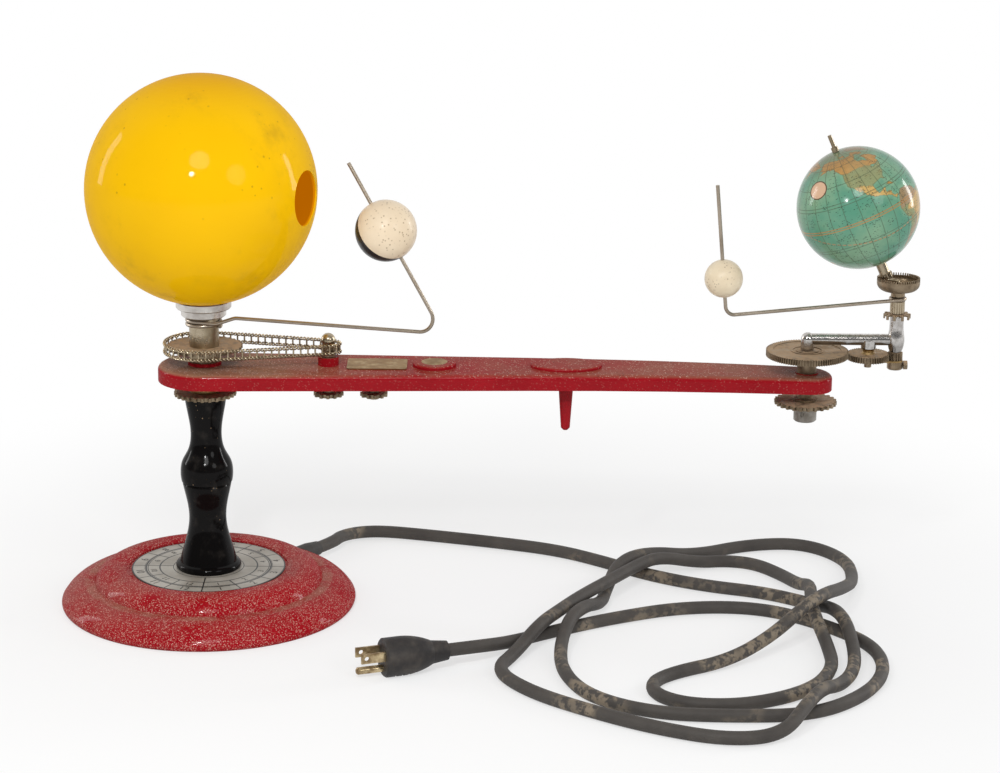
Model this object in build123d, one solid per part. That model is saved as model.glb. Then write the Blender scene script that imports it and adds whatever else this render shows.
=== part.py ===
from build123d import *
import math
import os

# Orrery: Sun, Venus, Earth and Moon on a hand-turned arm, driven by sprockets, a ladder chain and gears
# Millimetres. Z is up, X runs along the arm at rest, Y points to the back.
# The origin is on the table, under the middle of the column.

# Fits
RUN = 0.05                 # radial clearance of a shaft that turns or slides in its bore
SEAT = 0.04                # radial clearance of pieces fixed together
GAP = 0.3                  # end play between pieces that turn against each other

# Base
BASE_R = 98.5
BASE_WALL = 5.0
VALLEY_R = 76.4
VALLEY_Z = 16.2
TIER_TOP_R = 62.0
TIER_TOP_Z = 26.6
COVER_T = 1.6
COVER_R = 84.0
DIAL_R = 51.4
DIAL_RECESS_R = 53.2
DIAL_T = 0.8
DIAL_SEAT_Z = 23.8
BASE_BOSS_R = 16.0

# Column: radius at each height above the dial, from the foot ring up to the sprocket
COLUMN_TOP_Z = 144.6
COLUMN_FOOT_R = 21.8

# Stem, the hollow rod that holds the stand together and carries the lamp
STEM_R = 5.0
STEM_BORE_R = 3.2
STEM_TOP_Z = 205.0
STEM_NUT_R = 9.0
STEM_NUT_T = 6.0

# Ladder chain and its sprockets
CHAIN_PITCH = 4.8
CHAIN_LINKS = 57
CHAIN_WIRE = 1.1           # thickness of the chain's side strands and rungs
CHAIN_HEIGHT = 6.3
CHAIN_RUNG = 0.9
CHAIN_PLAY = 0.2           # between the rungs and the teeth that pass inside them
FIXED_TEETH = 26
VENUS_DRIVE_TEETH = 12
TENSIONER_TEETH = 11
VENUS_TOP_TEETH = 10
VENUS_SLEEVE_TEETH = 34
LOWER_SPROCKET_T = 2.4
UPPER_SPROCKET_T = 1.6
CHAIN_Z = 177.7            # middle of the upper chain
LOWER_TOOTH = 1.7          # how far the bare lower sprockets' teeth stand out

# Arm
ARM_R_COLUMN = 30.8
ARM_R_EARTH = 17.0
ARM_LENGTH = 397.2         # column axis to Earth-end shaft
ARM_T = 10.4
ARM_WALL = 3.2
ARM_ROOF = 3.4
ARM_BOTTOM_Z = 155.5
ARM_LEVEL_X = 215.0        # the arm is level as far as here, then droops
ARM_DROOP = 3.6
ARM_EDGE_R = 3.2
COLUMN_BOSS_R = 11.0
COLUMN_BOSS_H = 2.4
EARTH_BOSS_R = 7.6
EARTH_BOSS_H = 1.2
VENUS_SHAFT_X = 81.6
VENUS_BOSS_R = 6.8
VENUS_BOSS_TOP_Z = 171.6
TENSIONER_X = 111.6
ROUND_PAD_X = 151.6
ROUND_PAD_R = 14.3
ROUND_PAD_H = 2.6
INLAY_R = 8.6
INLAY_T = 0.6
HANDLE_X = 238.5
OVAL_PAD_LENGTH = 47.0
OVAL_PAD_WIDTH = 30.0
OVAL_PAD_H = 2.0
HANDLE_TOP_R = 4.95
HANDLE_TIP_R = 3.0
HANDLE_LENGTH = 33.0
HANDLE_SCREW_R = 1.6
PLATE_X = 113.8
PLATE_Y = 0.5
PLATE_LENGTH = 39.5
PLATE_WIDTH = 25.0
PLATE_T = 0.8

# Hub of the arm on the stem, and the Venus sleeve that turns on it
HUB_BUSH_R = 7.4
HUB_FLANGE_R = 10.5
THRUST_WASHER_T = 1.2
SLEEVE_R = 9.8
SLEEVE_TOP_Z = 198.0
VENUS_SHAFT_R = 2.0
CAP_NUT_R = 4.8

# Sun
SUN_R = 75.5
SUN_Z = 283.1
SUN_WALL = 2.2
SUN_HOLE_R = 18.0
SUN_HOLE_AZIMUTH = -19.0
COLLAR_FLANGE_R = 18.2
COLLAR_CUP_R = 14.8
COLLAR_FLOOR_Z = 198.6
COLLAR_FLOOR_T = 1.8
COLLAR_STEP_Z = 204.3
SOCKET_R = 11.0
SOCKET_TOP_Z = 226.0
BULB_R = 16.0

# Wires that carry Venus and the Moon
WIRE_R = 1.2
VENUS_COIL_Z = 196.6        # top of the coil, where the wire leaves it
VENUS_COIL_RISE = 2.7
VENUS_COIL_TURNS = 1.75
COIL_SIDES = 12            # the coil is bent from this many short runs a turn
COIL_PLAY = 0.05
VENUS_LEVEL = 13.0         # the wire runs level this far, clear of the collar above it
VENUS_WIRE_Z = 201.6
VENUS_CORNER = (158.3, -55.8, 202.5)
VENUS_TIP = (97.5, -34.3, 308.6)
VENUS_BALL_UP = 75.0       # from the wire's corner to the middle of the ball
VENUS_BALL_R = 19.8
VENUS_BEND_R = 9.0
MOON_LOOP_Z = 213.95
MOON_CORNER = (339.5, -46.0, 213.4)
MOON_TIP = (331.8, -45.0, 298.2)
MOON_BALL_UP = 24.4
MOON_BALL_R = 12.3
MOON_BEND_R = 6.5

# Gears of the Earth end
MODULE = 0.55
FIXED_GEAR_TEETH = 97
IDLER_TEETH = 49
PINION_TEETH = 16
FIXED_GEAR_TOP_Z = 178.4
FIXED_GEAR_T = 4.0
FIXED_GEAR_HUB_R = 6.4
IDLER_Z = 172.6
IDLER_T = 4.0
IDLER_BUSH_R = 4.6
IDLER_BUSH_TOP_Z = 180.1
IDLER_STUD_R = 1.5
PINION_Z = 172.4
PINION_T = 5.1

# Crank
CRANK_BAR_Z = 185.9
CRANK_BAR_R = 3.8
CRANK_LEG_R = 4.5
CRANK_LEG_Z = 178.8
POST_BOTTOM_Z = 178.2
POST_TOP_Z = 202.7
POST_R = 4.6
POST_BULGE_R = 5.6
CRANK_SHAFT_R = 3.0
EARTH_SPROCKET_Z = 141.8
EARTH_HUB_R = 7.6
EARTH_HUB_H = 11.6
EARTH_WASHER_R = 7.8
STRAP_T = 1.0
STRAP_R = 5.0
ROD_COLLAR_R = 5.2
ROD_COLLAR_H = 5.2
STAR_R = 8.9
STAR_POINTS = 10

# Moon sleeve and cup gear
SPINDLE_R = 2.9
SPINDLE_TOP_Z = 222.4
FLUTED_R = 4.85
FLUTED_BOTTOM_Z = 204.3
FLUTED_TOP_Z = 212.2
NECK_R = 3.4
CUP_R = 14.1
CUP_WALL = 1.5
CUP_BOTTOM_Z = 219.4
CUP_HUB_Z = 215.7
CUP_RIM_Z = 228.1
CUP_TEETH = 54
CUP_TOOTH_H = 1.6
CUP_SLOT = 0.95

# Earth
EARTH_TILT = 23.5
EARTH_R = 40.0
EARTH_WALL = 1.8
EARTH_PINION_TEETH = 18
EARTH_PINION_TIP_R = 4.7
EARTH_PINION_ROOT_R = 3.7
EARTH_PINION_T = 3.0
EARTH_PINION_Z = 229.3
EARTH_PINION_REACH = 13.0  # how far the pinion's teeth reach from the post's axis
EARTH_UP = 49.4            # from the middle of the pinion to the middle of the globe
AXLE_R = 1.3
AXLE_TIP = 101.0

# Cord and plug
CORD_R = 4.3
CORD_AZIMUTH = 52.0
CORD_Z = 8.0
CORD_FIRST_RUN = 16.8
GLAND_R = 6.2
GLAND_TIP_R = 4.9
GLAND_START = 88.0
GLAND_END = 110.0
PLUG_NECK = (162.6, -120.0, 11.5)
PLUG_LENGTH = 43.0
PLUG_RELIEF = 11.0
PLUG_RELIEF_R = 6.2
PLUG_BODY_R = 12.6
PLUG_BLADE = 15.9
PLUG_BLADE_WIDTH = 6.3
PLUG_BLADE_T = 1.5
PLUG_BLADE_SPREAD = 12.7
PLUG_BLADE_UP = 3.2
PLUG_PIN_DOWN = 6.8
PLUG_PIN_R = 2.4

parts = {}


def polar(radius, angle):
    return (radius * math.cos(angle), radius * math.sin(angle))


def disc(radius, z_low, z_high, x=0.0, y=0.0):
    """A plain upright cylinder between two heights."""
    return Pos(x, y, z_low) * Cylinder(radius, z_high - z_low, align=(Align.CENTER, Align.CENTER, Align.MIN))


def ring(outer, bore, z_low, z_high, x=0.0, y=0.0):
    return disc(outer, z_low, z_high, x, y) - disc(bore, z_low - 1, z_high + 1, x, y)


def turned(points):
    """A solid of revolution about Z from (radius, height) points, closed along the axis."""
    outline = Polyline(*[(r, 0, z) for r, z in points], close=True)
    return revolve(make_face(outline), Axis.Z, 360)


def toothed_disc(teeth, tip_r, root_r, tip_width, root_width, thickness, phase=0.0):
    """A disc with straight-sided teeth; a tooth is centred on the angle phase."""
    points = []
    for k in range(teeth):
        middle = phase + 2 * math.pi * k / teeth
        half_root = root_width / 2 / root_r
        half_tip = tip_width / 2 / tip_r
        points.append(polar(root_r, middle - half_root))
        points.append(polar(tip_r, middle - half_tip))
        points.append(polar(tip_r, middle + half_tip))
        points.append(polar(root_r, middle + half_root))
    return extrude(make_face(Polyline(*points, close=True)), thickness)


def spur_gear(teeth, thickness, phase=0.0):
    """A gear of the train's module, its teeth a little thin for running play."""
    pitch_r = teeth * MODULE / 2
    pitch = math.pi * MODULE
    return toothed_disc(
        teeth, pitch_r + 0.8 * MODULE, pitch_r - 1.05 * MODULE, 0.26 * pitch, 0.6 * pitch, thickness, phase
    )


def sprocket_pitch_r(teeth):
    return teeth * CHAIN_PITCH / (2 * math.pi)


def upper_sprocket(teeth, phase):
    """A sprocket under the ladder chain: its teeth end just inside the rungs."""
    tip_r = sprocket_pitch_r(teeth) - CHAIN_WIRE / 2 - CHAIN_PLAY
    return toothed_disc(
        teeth, tip_r, tip_r - 1.0, 0.3 * CHAIN_PITCH, 0.5 * CHAIN_PITCH, UPPER_SPROCKET_T, phase
    )


def lower_sprocket(teeth, phase):
    """A bare sprocket under the arm, with short blunt teeth at the chain's pitch."""
    pitch_r = sprocket_pitch_r(teeth)
    tip_r = pitch_r + 0.45 * LOWER_TOOTH
    return toothed_disc(
        teeth, tip_r, tip_r - LOWER_TOOTH, 0.34 * CHAIN_PITCH, 0.52 * CHAIN_PITCH, LOWER_SPROCKET_T, phase
    )


def rod_through(points, radius, bend_radii):
    """A round wire along straight runs joined by bends."""
    path = FilletPolyline(*points, radius=bend_radii)
    start = Plane(origin=path @ 0, z_dir=path % 0)
    return sweep(start * Circle(radius), path)


# Heights that follow from the sizes above
ARM_TOP_Z = ARM_BOTTOM_Z + ARM_T
LOWER_SPROCKET_Z = COLUMN_TOP_Z + 0.2
FIXED_SPROCKET_TOP_Z = LOWER_SPROCKET_Z + LOWER_SPROCKET_T
HUB_FLANGE_Z = FIXED_SPROCKET_TOP_Z + THRUST_WASHER_T
CHAIN_LOW_Z = CHAIN_Z - CHAIN_HEIGHT / 2
UPPER_SPROCKET_Z = CHAIN_Z - UPPER_SPROCKET_T / 2
COLUMN_BOSS_TOP_Z = ARM_TOP_Z + COLUMN_BOSS_H
EARTH_BOSS_TOP_Z = ARM_TOP_Z - ARM_DROOP + EARTH_BOSS_H
IDLER_X = ARM_LENGTH + (FIXED_GEAR_TEETH + IDLER_TEETH) * MODULE / 2
POST_X = IDLER_X + (IDLER_TEETH + PINION_TEETH) * MODULE / 2
FIXED_GEAR_Z = FIXED_GEAR_TOP_Z - FIXED_GEAR_T
STRAP_Z = IDLER_Z - STRAP_T - GAP
COLLAR_TOP_RIM_Z = SUN_Z - math.sqrt(SUN_R**2 - COLLAR_FLANGE_R**2)
TILT = math.radians(EARTH_TILT)


def arm_bow(x):
    """How far the arm has drooped at x."""
    if x <= ARM_LEVEL_X:
        return 0.0
    reach = ARM_LENGTH + ARM_R_EARTH - ARM_LEVEL_X
    radius = (reach**2 + ARM_DROOP**2) / (2 * ARM_DROOP)
    return radius - math.sqrt(radius**2 - (x - ARM_LEVEL_X) ** 2)


def tapered_stadium(r_start, r_end, length):
    """Two circles joined by their outer tangents, as a flat face."""
    lean = math.acos((r_start - r_end) / length)
    a = polar(r_start, lean)
    b = polar(r_end, lean)
    tip_start = (-r_start, 0)
    tip_end = (length + r_end, 0)
    outline = (
        ThreePointArc(a, tip_start, (a[0], -a[1]))
        + Line((a[0], -a[1]), (length + b[0], -b[1]))
        + ThreePointArc((length + b[0], -b[1]), tip_end, (length + b[0], b[1]))
        + Line((length + b[0], b[1]), a)
    )
    return make_face(outline)


# Base and column

def make_base():
    """Cast iron base: a wide rounded foot, a raised tier with the dial's recess, hollow underneath."""
    edge_low = (BASE_R - 1.6, 0)
    section = (
        Line((0, 0), edge_low)
        + ThreePointArc(edge_low, (BASE_R, 2.6), (BASE_R - 1.2, 6.0))
        + ThreePointArc((BASE_R - 1.2, 6.0), (BASE_R - 8.4, 13.2), (VALLEY_R + 2.0, VALLEY_Z))
        + Line((VALLEY_R + 2.0, VALLEY_Z), (VALLEY_R, VALLEY_Z))
        + ThreePointArc((VALLEY_R, VALLEY_Z), (VALLEY_R - 4.6, 23.0), (TIER_TOP_R, TIER_TOP_Z))
        + Line((TIER_TOP_R, TIER_TOP_Z), (DIAL_RECESS_R + 2.6, TIER_TOP_Z - 0.4))
        + Line((DIAL_RECESS_R + 2.6, TIER_TOP_Z - 0.4), (DIAL_RECESS_R, TIER_TOP_Z - 1.6))
        + Line((DIAL_RECESS_R, TIER_TOP_Z - 1.6), (DIAL_RECESS_R, DIAL_SEAT_Z))
        + Line((DIAL_RECESS_R, DIAL_SEAT_Z), (0, DIAL_SEAT_Z))
        + Line((0, DIAL_SEAT_Z), (0, 0))
    )
    solid = revolve(make_face(Plane.XZ * section), Axis.Z, 360)
    inside_top = DIAL_SEAT_Z - BASE_WALL
    solid -= turned([
        (BASE_BOSS_R, COVER_T), (COVER_R, COVER_T), (COVER_R, 5.0), (VALLEY_R - 6.0, VALLEY_Z - BASE_WALL),
        (VALLEY_R - 12.0, inside_top), (BASE_BOSS_R, inside_top),
    ])
    solid -= disc(COVER_R, -1, COVER_T)
    solid -= disc(STEM_NUT_R + 2.0, -1, DIAL_SEAT_Z - BASE_WALL - 4.0)
    solid -= disc(STEM_R + SEAT, -1, DIAL_SEAT_Z + 1)
    solid -= gland_axis() * Cylinder(GLAND_R + SEAT, 40, align=(Align.CENTER, Align.CENTER, Align.MIN))
    return solid


def gland_axis():
    """Plane at the start of the cord's gland, looking out along the cord."""
    angle = math.radians(CORD_AZIMUTH)
    outward = (math.cos(angle), math.sin(angle), 0)
    start = polar(GLAND_START, angle)
    return Plane(origin=(start[0], start[1], CORD_Z), z_dir=outward)


def make_gland():
    length = GLAND_END - GLAND_START
    straight = BASE_R - GLAND_START + 1.0
    section = Polyline(
        (0, 0, 0), (GLAND_R, 0, 0), (GLAND_R, 0, straight), (GLAND_TIP_R, 0, length), (0, 0, length), close=True
    )
    return gland_axis() * revolve(make_face(section), Axis.Z, 360)


def make_column():
    """Turned wooden column, bored for the stem."""
    foot = DIAL_SEAT_Z + DIAL_T
    top = COLUMN_TOP_Z
    section = (
        Line((0, foot), (COLUMN_FOOT_R - 1.0, foot))
        + ThreePointArc((COLUMN_FOOT_R - 1.0, foot), (COLUMN_FOOT_R, foot + 1.8), (COLUMN_FOOT_R - 1.4, foot + 4.4))
        + Line((COLUMN_FOOT_R - 1.4, foot + 4.4), (19.2, foot + 5.0))
        + Spline((19.2, foot + 5.0), (17.4, 36.0), (15.4, 43.0), (13.2, 52.0), (12.4, 60.0), (13.0, 68.0), (14.6, 76.0), (16.2, 83.6))
        + Line((16.2, 83.6), (15.8, 84.6))
        + Line((15.8, 84.6), (16.9, 85.4))
        + Spline((16.9, 85.4), (17.5, 92.0), (16.3, 99.0), (12.6, 106.0), (10.5, 114.0), (10.4, 121.0), (11.8, 131.0), (13.9, top))
        + Line((13.9, top), (0, top))
        + Line((0, top), (0, foot))
    )
    solid = revolve(make_face(Plane.XZ * section), Axis.Z, 360)
    return solid - disc(STEM_R + SEAT, 0, top + 1)


def make_stand():
    parts["base_casting"] = make_base()
    parts["base_cover"] = disc(COVER_R - GAP, 0, COVER_T - SEAT)
    parts["dial_plate"] = ring(DIAL_R, STEM_R + 1.0, DIAL_SEAT_Z, DIAL_SEAT_Z + DIAL_T)
    parts["column"] = make_column()
    nut_top = DIAL_SEAT_Z - BASE_WALL - 4.0 - 1.0
    parts["stem_washer"] = ring(STEM_NUT_R, STEM_R + SEAT, nut_top, nut_top + 1.0)
    nut = extrude(RegularPolygon(STEM_NUT_R - 0.4, 6), STEM_NUT_T)
    parts["stem_nut"] = Pos(0, 0, nut_top - STEM_NUT_T) * nut - disc(STEM_R + SEAT, 0, nut_top + 1)
    parts["stem_tube"] = ring(STEM_R, STEM_BORE_R, nut_top - STEM_NUT_T - 1.0, STEM_TOP_Z)
    sprocket = Pos(0, 0, LOWER_SPROCKET_Z) * lower_sprocket(FIXED_TEETH, math.pi / FIXED_TEETH)
    parts["fixed_sprocket"] = sprocket + disc(11.0, COLUMN_TOP_Z, LOWER_SPROCKET_Z + 0.1) - disc(
        STEM_R + SEAT, COLUMN_TOP_Z - 1, HUB_FLANGE_Z
    )
    parts["thrust_washer"] = ring(
        HUB_FLANGE_R - 0.5, STEM_R + SEAT, FIXED_SPROCKET_TOP_Z, FIXED_SPROCKET_TOP_Z + THRUST_WASHER_T - RUN
    )
    parts["cord_gland"] = make_gland()


# Arm

def bowed_slab(z_top, z_bottom, margin):
    """A wide slab that follows the arm's droop, to be cut to the arm's plan."""
    end_x = ARM_LENGTH + ARM_R_EARTH
    middle_x = (ARM_LEVEL_X + end_x) / 2
    edges = (
        Line((-ARM_R_COLUMN - margin, z_bottom), (ARM_LEVEL_X, z_bottom))
        + ThreePointArc(
            (ARM_LEVEL_X, z_bottom), (middle_x, z_bottom - arm_bow(middle_x)), (end_x, z_bottom - arm_bow(end_x))
        )
        + Line((end_x, z_bottom - arm_bow(end_x)), (end_x, z_top - arm_bow(end_x)))
        + ThreePointArc(
            (end_x, z_top - arm_bow(end_x)), (middle_x, z_top - arm_bow(middle_x)), (ARM_LEVEL_X, z_top)
        )
        + Line((ARM_LEVEL_X, z_top), (-ARM_R_COLUMN - margin, z_top))
        + Line((-ARM_R_COLUMN - margin, z_top), (-ARM_R_COLUMN - margin, z_bottom))
    )
    face = make_face(Plane.XZ * edges)
    return extrude(face, ARM_R_COLUMN + margin, both=True)


def make_arm_casting():
    """Aluminium casting: tapered, hollow from below, with bosses for every shaft."""
    plan = extrude(tapered_stadium(ARM_R_COLUMN, ARM_R_EARTH, ARM_LENGTH), 60)
    body = Pos(0, 0, ARM_BOTTOM_Z - 20) * plan & bowed_slab(ARM_TOP_Z, ARM_BOTTOM_Z, 2.0)
    upper = body.edges().filter_by(lambda e: e.center().Z > ARM_BOTTOM_Z + ARM_T - ARM_DROOP - 0.5)
    body = fillet(upper, ARM_EDGE_R)
    pocket_plan = extrude(
        tapered_stadium(ARM_R_COLUMN - ARM_WALL, ARM_R_EARTH - ARM_WALL, ARM_LENGTH), 60
    )
    pocket = Pos(0, 0, ARM_BOTTOM_Z - 20) * pocket_plan
    pocket = pocket & bowed_slab(ARM_TOP_Z - ARM_ROOF, ARM_BOTTOM_Z - 5.0, 2.0)
    pocket -= disc(HUB_FLANGE_R + 2.0, 100, 200)
    pocket -= disc(VENUS_BOSS_R, 100, 200, VENUS_SHAFT_X)
    pocket -= disc(5.5, 100, 200, TENSIONER_X)
    pocket -= disc(7.0, 100, 200, HANDLE_X)
    pocket -= disc(EARTH_WASHER_R, 100, 200, ARM_LENGTH)
    body -= pocket
    body += disc(COLUMN_BOSS_R, ARM_TOP_Z - 1, COLUMN_BOSS_TOP_Z)
    body += disc(VENUS_BOSS_R, ARM_TOP_Z - 1, VENUS_BOSS_TOP_Z, VENUS_SHAFT_X)
    body += disc(EARTH_BOSS_R, ARM_TOP_Z - ARM_DROOP - 1, EARTH_BOSS_TOP_Z, ARM_LENGTH)
    body += make_round_pad()
    body += make_oval_pad()
    body -= disc(HUB_BUSH_R + SEAT, 100, 200)
    body -= disc(VENUS_SHAFT_R + RUN, 100, 200, VENUS_SHAFT_X)
    body -= disc(VENUS_SHAFT_R + SEAT, 100, ARM_TOP_Z - 2.0, TENSIONER_X)
    body -= disc(HANDLE_SCREW_R + SEAT, 100, ARM_TOP_Z - 2.0, HANDLE_X)
    body -= disc(CRANK_SHAFT_R + RUN, 100, 200, ARM_LENGTH)
    return body


def make_round_pad():
    """Raised round pad with a shallow seat for its brass inlay."""
    pad = disc(ROUND_PAD_R, ARM_TOP_Z - 1, ARM_TOP_Z + ROUND_PAD_H, ROUND_PAD_X)
    pad = fillet(pad.edges().group_by(Axis.Z)[-1], 1.4)
    return pad - disc(INLAY_R + SEAT, ARM_TOP_Z + ROUND_PAD_H - INLAY_T, ARM_TOP_Z + 10, ROUND_PAD_X)


def make_oval_pad():
    top = ARM_TOP_Z + OVAL_PAD_H
    face = Pos(HANDLE_X, 0, ARM_TOP_Z - 1.5) * Ellipse(OVAL_PAD_LENGTH / 2, OVAL_PAD_WIDTH / 2)
    pad = extrude(face, top - ARM_TOP_Z + 1.5)
    return fillet(pad.edges().group_by(Axis.Z)[-1], 1.3)


def make_hub_bush():
    bush = disc(HUB_FLANGE_R, HUB_FLANGE_Z, ARM_BOTTOM_Z) + disc(HUB_BUSH_R, ARM_BOTTOM_Z - 1, SLEEVE_TOP_Z + GAP)
    return bush - disc(STEM_R + RUN, 100, 300)


def make_handle():
    """Tapered turned handle, hung under the arm on a screw."""
    top = ARM_BOTTOM_Z - arm_bow(HANDLE_X + HANDLE_TOP_R)
    tip = top - HANDLE_LENGTH
    section = (
        Line((0, 0), (HANDLE_TOP_R - 1.2, 0))
        + Line((HANDLE_TOP_R - 1.2, 0), (HANDLE_TOP_R - 1.2, -1.6))
        + Line((HANDLE_TOP_R - 1.2, -1.6), (HANDLE_TOP_R, -2.4))
        + Line((HANDLE_TOP_R, -2.4), (HANDLE_TIP_R, -HANDLE_LENGTH + 1.6))
        + Line((HANDLE_TIP_R, -HANDLE_LENGTH + 1.6), (HANDLE_TIP_R - 1.4, -HANDLE_LENGTH))
        + Line((HANDLE_TIP_R - 1.4, -HANDLE_LENGTH), (0, -HANDLE_LENGTH))
        + Line((0, -HANDLE_LENGTH), (0, 0))
    )
    solid = Pos(HANDLE_X, 0, top) * revolve(make_face(Plane.XZ * section), Axis.Z, 360)
    return solid - disc(HANDLE_SCREW_R + SEAT, tip + 12.0, top + 1, HANDLE_X)


def make_fixed_gear():
    """Large gear fixed to the arm: thin web ring, tooth band, tall hub."""
    gear = Pos(ARM_LENGTH, 0, FIXED_GEAR_Z) * spur_gear(FIXED_GEAR_TEETH, FIXED_GEAR_T)
    groove = ring(9.6, 7.6, FIXED_GEAR_TOP_Z - 0.5, FIXED_GEAR_TOP_Z + 1, ARM_LENGTH)
    dish = ring(22.5, 11.0, FIXED_GEAR_TOP_Z - 0.35, FIXED_GEAR_TOP_Z + 1, ARM_LENGTH)
    under = ring(23.0, FIXED_GEAR_HUB_R, FIXED_GEAR_Z - 1, FIXED_GEAR_Z + 1.6, ARM_LENGTH)
    hub = disc(FIXED_GEAR_HUB_R, EARTH_BOSS_TOP_Z, FIXED_GEAR_Z + 1.0, ARM_LENGTH)
    solid = gear - groove - dish - under + hub
    return solid - disc(CRANK_SHAFT_R + RUN, 100, 300, ARM_LENGTH)


# Ladder chain

def chain_span():
    """Lean of the chain's straight runs against the line between the two shafts."""
    big = sprocket_pitch_r(VENUS_SLEEVE_TEETH)
    small = sprocket_pitch_r(VENUS_TOP_TEETH)
    return math.acos((big - small) / VENUS_SHAFT_X), big, small


def chain_station(distance):
    """Point and heading on the chain's line, this far along it from the side away from the Earth."""
    lean, big, small = chain_span()
    wrap_big = big * (math.pi - lean)
    run = VENUS_SHAFT_X * math.sin(lean)
    wrap_small = small * 2 * lean
    if distance <= wrap_big:
        return (*polar(big, math.pi - distance / big), math.pi - distance / big)
    distance -= wrap_big
    if distance <= run:
        start = polar(big, lean)
        return (start[0] + math.sin(lean) * distance, start[1] - math.cos(lean) * distance, lean)
    distance -= run
    if distance <= wrap_small:
        spot = polar(small, lean - distance / small)
        return (VENUS_SHAFT_X + spot[0], spot[1], lean - distance / small)
    distance -= wrap_small
    if distance <= run:
        start = polar(small, -lean)
        return (VENUS_SHAFT_X + start[0] - math.sin(lean) * distance, start[1] - math.cos(lean) * distance, -lean)
    distance -= run
    return (*polar(big, -lean - distance / big), -lean - distance / big)


def make_chain():
    """Endless ladder chain: two side strands joined by a rung at every pitch."""
    lean, big, small = chain_span()
    half = CHAIN_WIRE / 2
    loop = tapered_stadium(big + half, small + half, VENUS_SHAFT_X) - tapered_stadium(
        big - half, small - half, VENUS_SHAFT_X
    )
    strand = extrude(loop, CHAIN_WIRE)
    solid = Pos(0, 0, CHAIN_LOW_Z) * strand + Pos(0, 0, CHAIN_LOW_Z + CHAIN_HEIGHT - CHAIN_WIRE) * strand
    total = 2 * (big * (math.pi - lean) + small * lean + VENUS_SHAFT_X * math.sin(lean))
    stations = [chain_station(total * k / CHAIN_LINKS) for k in range(CHAIN_LINKS)]
    rung = Box(CHAIN_RUNG, CHAIN_RUNG, CHAIN_HEIGHT - CHAIN_WIRE)
    rungs = [Pos(x, y, CHAIN_Z) * Rot(0, 0, math.degrees(heading)) * rung for x, y, heading in stations]
    return solid.fuse(*rungs)


def make_arm():
    parts["arm_casting"] = make_arm_casting()
    parts["hub_bush"] = make_hub_bush()
    plate = Pos(PLATE_X, PLATE_Y, ARM_TOP_Z + PLATE_T / 2) * Box(PLATE_LENGTH, PLATE_WIDTH, PLATE_T)
    parts["arm_plate"] = fillet(plate.edges().filter_by(Axis.Z), 2.0)
    inlay_z = ARM_TOP_Z + ROUND_PAD_H - INLAY_T
    parts["pad_inlay"] = disc(INLAY_R, inlay_z, inlay_z + INLAY_T, ROUND_PAD_X)
    parts["handle"] = make_handle()
    screw_low = ARM_BOTTOM_Z - HANDLE_LENGTH + 14.0
    parts["handle_screw"] = disc(HANDLE_SCREW_R, screw_low, ARM_TOP_Z - 2.5, HANDLE_X)
    stud = disc(VENUS_SHAFT_R, LOWER_SPROCKET_Z - 1.0, ARM_TOP_Z - 2.5, TENSIONER_X)
    stud += disc(3.4, LOWER_SPROCKET_Z - 1.9, LOWER_SPROCKET_Z - GAP, TENSIONER_X)
    parts["tensioner_stud"] = stud + disc(
        3.6, LOWER_SPROCKET_Z + LOWER_SPROCKET_T + GAP, ARM_BOTTOM_Z, TENSIONER_X
    )
    parts["earth_fixed_gear"] = make_fixed_gear()
    parts["venus_chain"] = make_chain()


# Sun

def make_sun():
    """Hollow globe with a light hole, seated in a spun collar that turns on the stem."""
    globe = Sphere(SUN_R) - Sphere(SUN_R - SUN_WALL)
    globe -= disc(COLLAR_CUP_R + 0.8, -SUN_R - 5, -SUN_R + 12)
    hole = Rot(0, 90, 0) * Cylinder(SUN_HOLE_R, SUN_R + 10, align=(Align.CENTER, Align.CENTER, Align.MIN))
    globe -= Rot(0, 0, SUN_HOLE_AZIMUTH) * hole
    parts["sun_globe"] = Pos(0, 0, SUN_Z) * globe
    rim = COLLAR_TOP_RIM_Z - 0.6
    step = COLLAR_STEP_Z
    collar = turned([
        (STEM_R + RUN, COLLAR_FLOOR_Z), (COLLAR_CUP_R - 1.2, COLLAR_FLOOR_Z), (COLLAR_CUP_R, COLLAR_FLOOR_Z + 1.0),
        (COLLAR_CUP_R, step - 0.8), (COLLAR_FLANGE_R - 0.5, step), (COLLAR_FLANGE_R, step + 0.6),
        (COLLAR_FLANGE_R, rim - 0.2), (COLLAR_FLANGE_R - 1.4, rim - 0.9), (COLLAR_CUP_R - 0.6, rim - 1.9),
        (COLLAR_CUP_R - 1.2, step - 1.5), (COLLAR_CUP_R - 1.2, COLLAR_FLOOR_Z + COLLAR_FLOOR_T),
        (STEM_R + RUN, COLLAR_FLOOR_Z + COLLAR_FLOOR_T),
    ])
    parts["sun_collar"] = collar
    socket_z = COLLAR_FLOOR_Z + COLLAR_FLOOR_T + GAP
    socket = disc(SOCKET_R, socket_z, SOCKET_TOP_Z) - disc(STEM_R + SEAT, 100, STEM_TOP_Z)
    parts["lamp_socket"] = socket - disc(7.0, STEM_TOP_Z + 3.0, SOCKET_TOP_Z + 1)
    neck = disc(6.8, STEM_TOP_Z + 4.0, SOCKET_TOP_Z + 14.0)
    parts["lamp_bulb"] = neck + Pos(0, 0, SOCKET_TOP_Z + 10.0 + BULB_R) * Sphere(BULB_R)


# Venus drive

def along(start, end, distance):
    """The point this far from start towards end."""
    a = Vector(*start)
    b = Vector(*end)
    return a + (b - a).normalized() * distance


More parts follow.
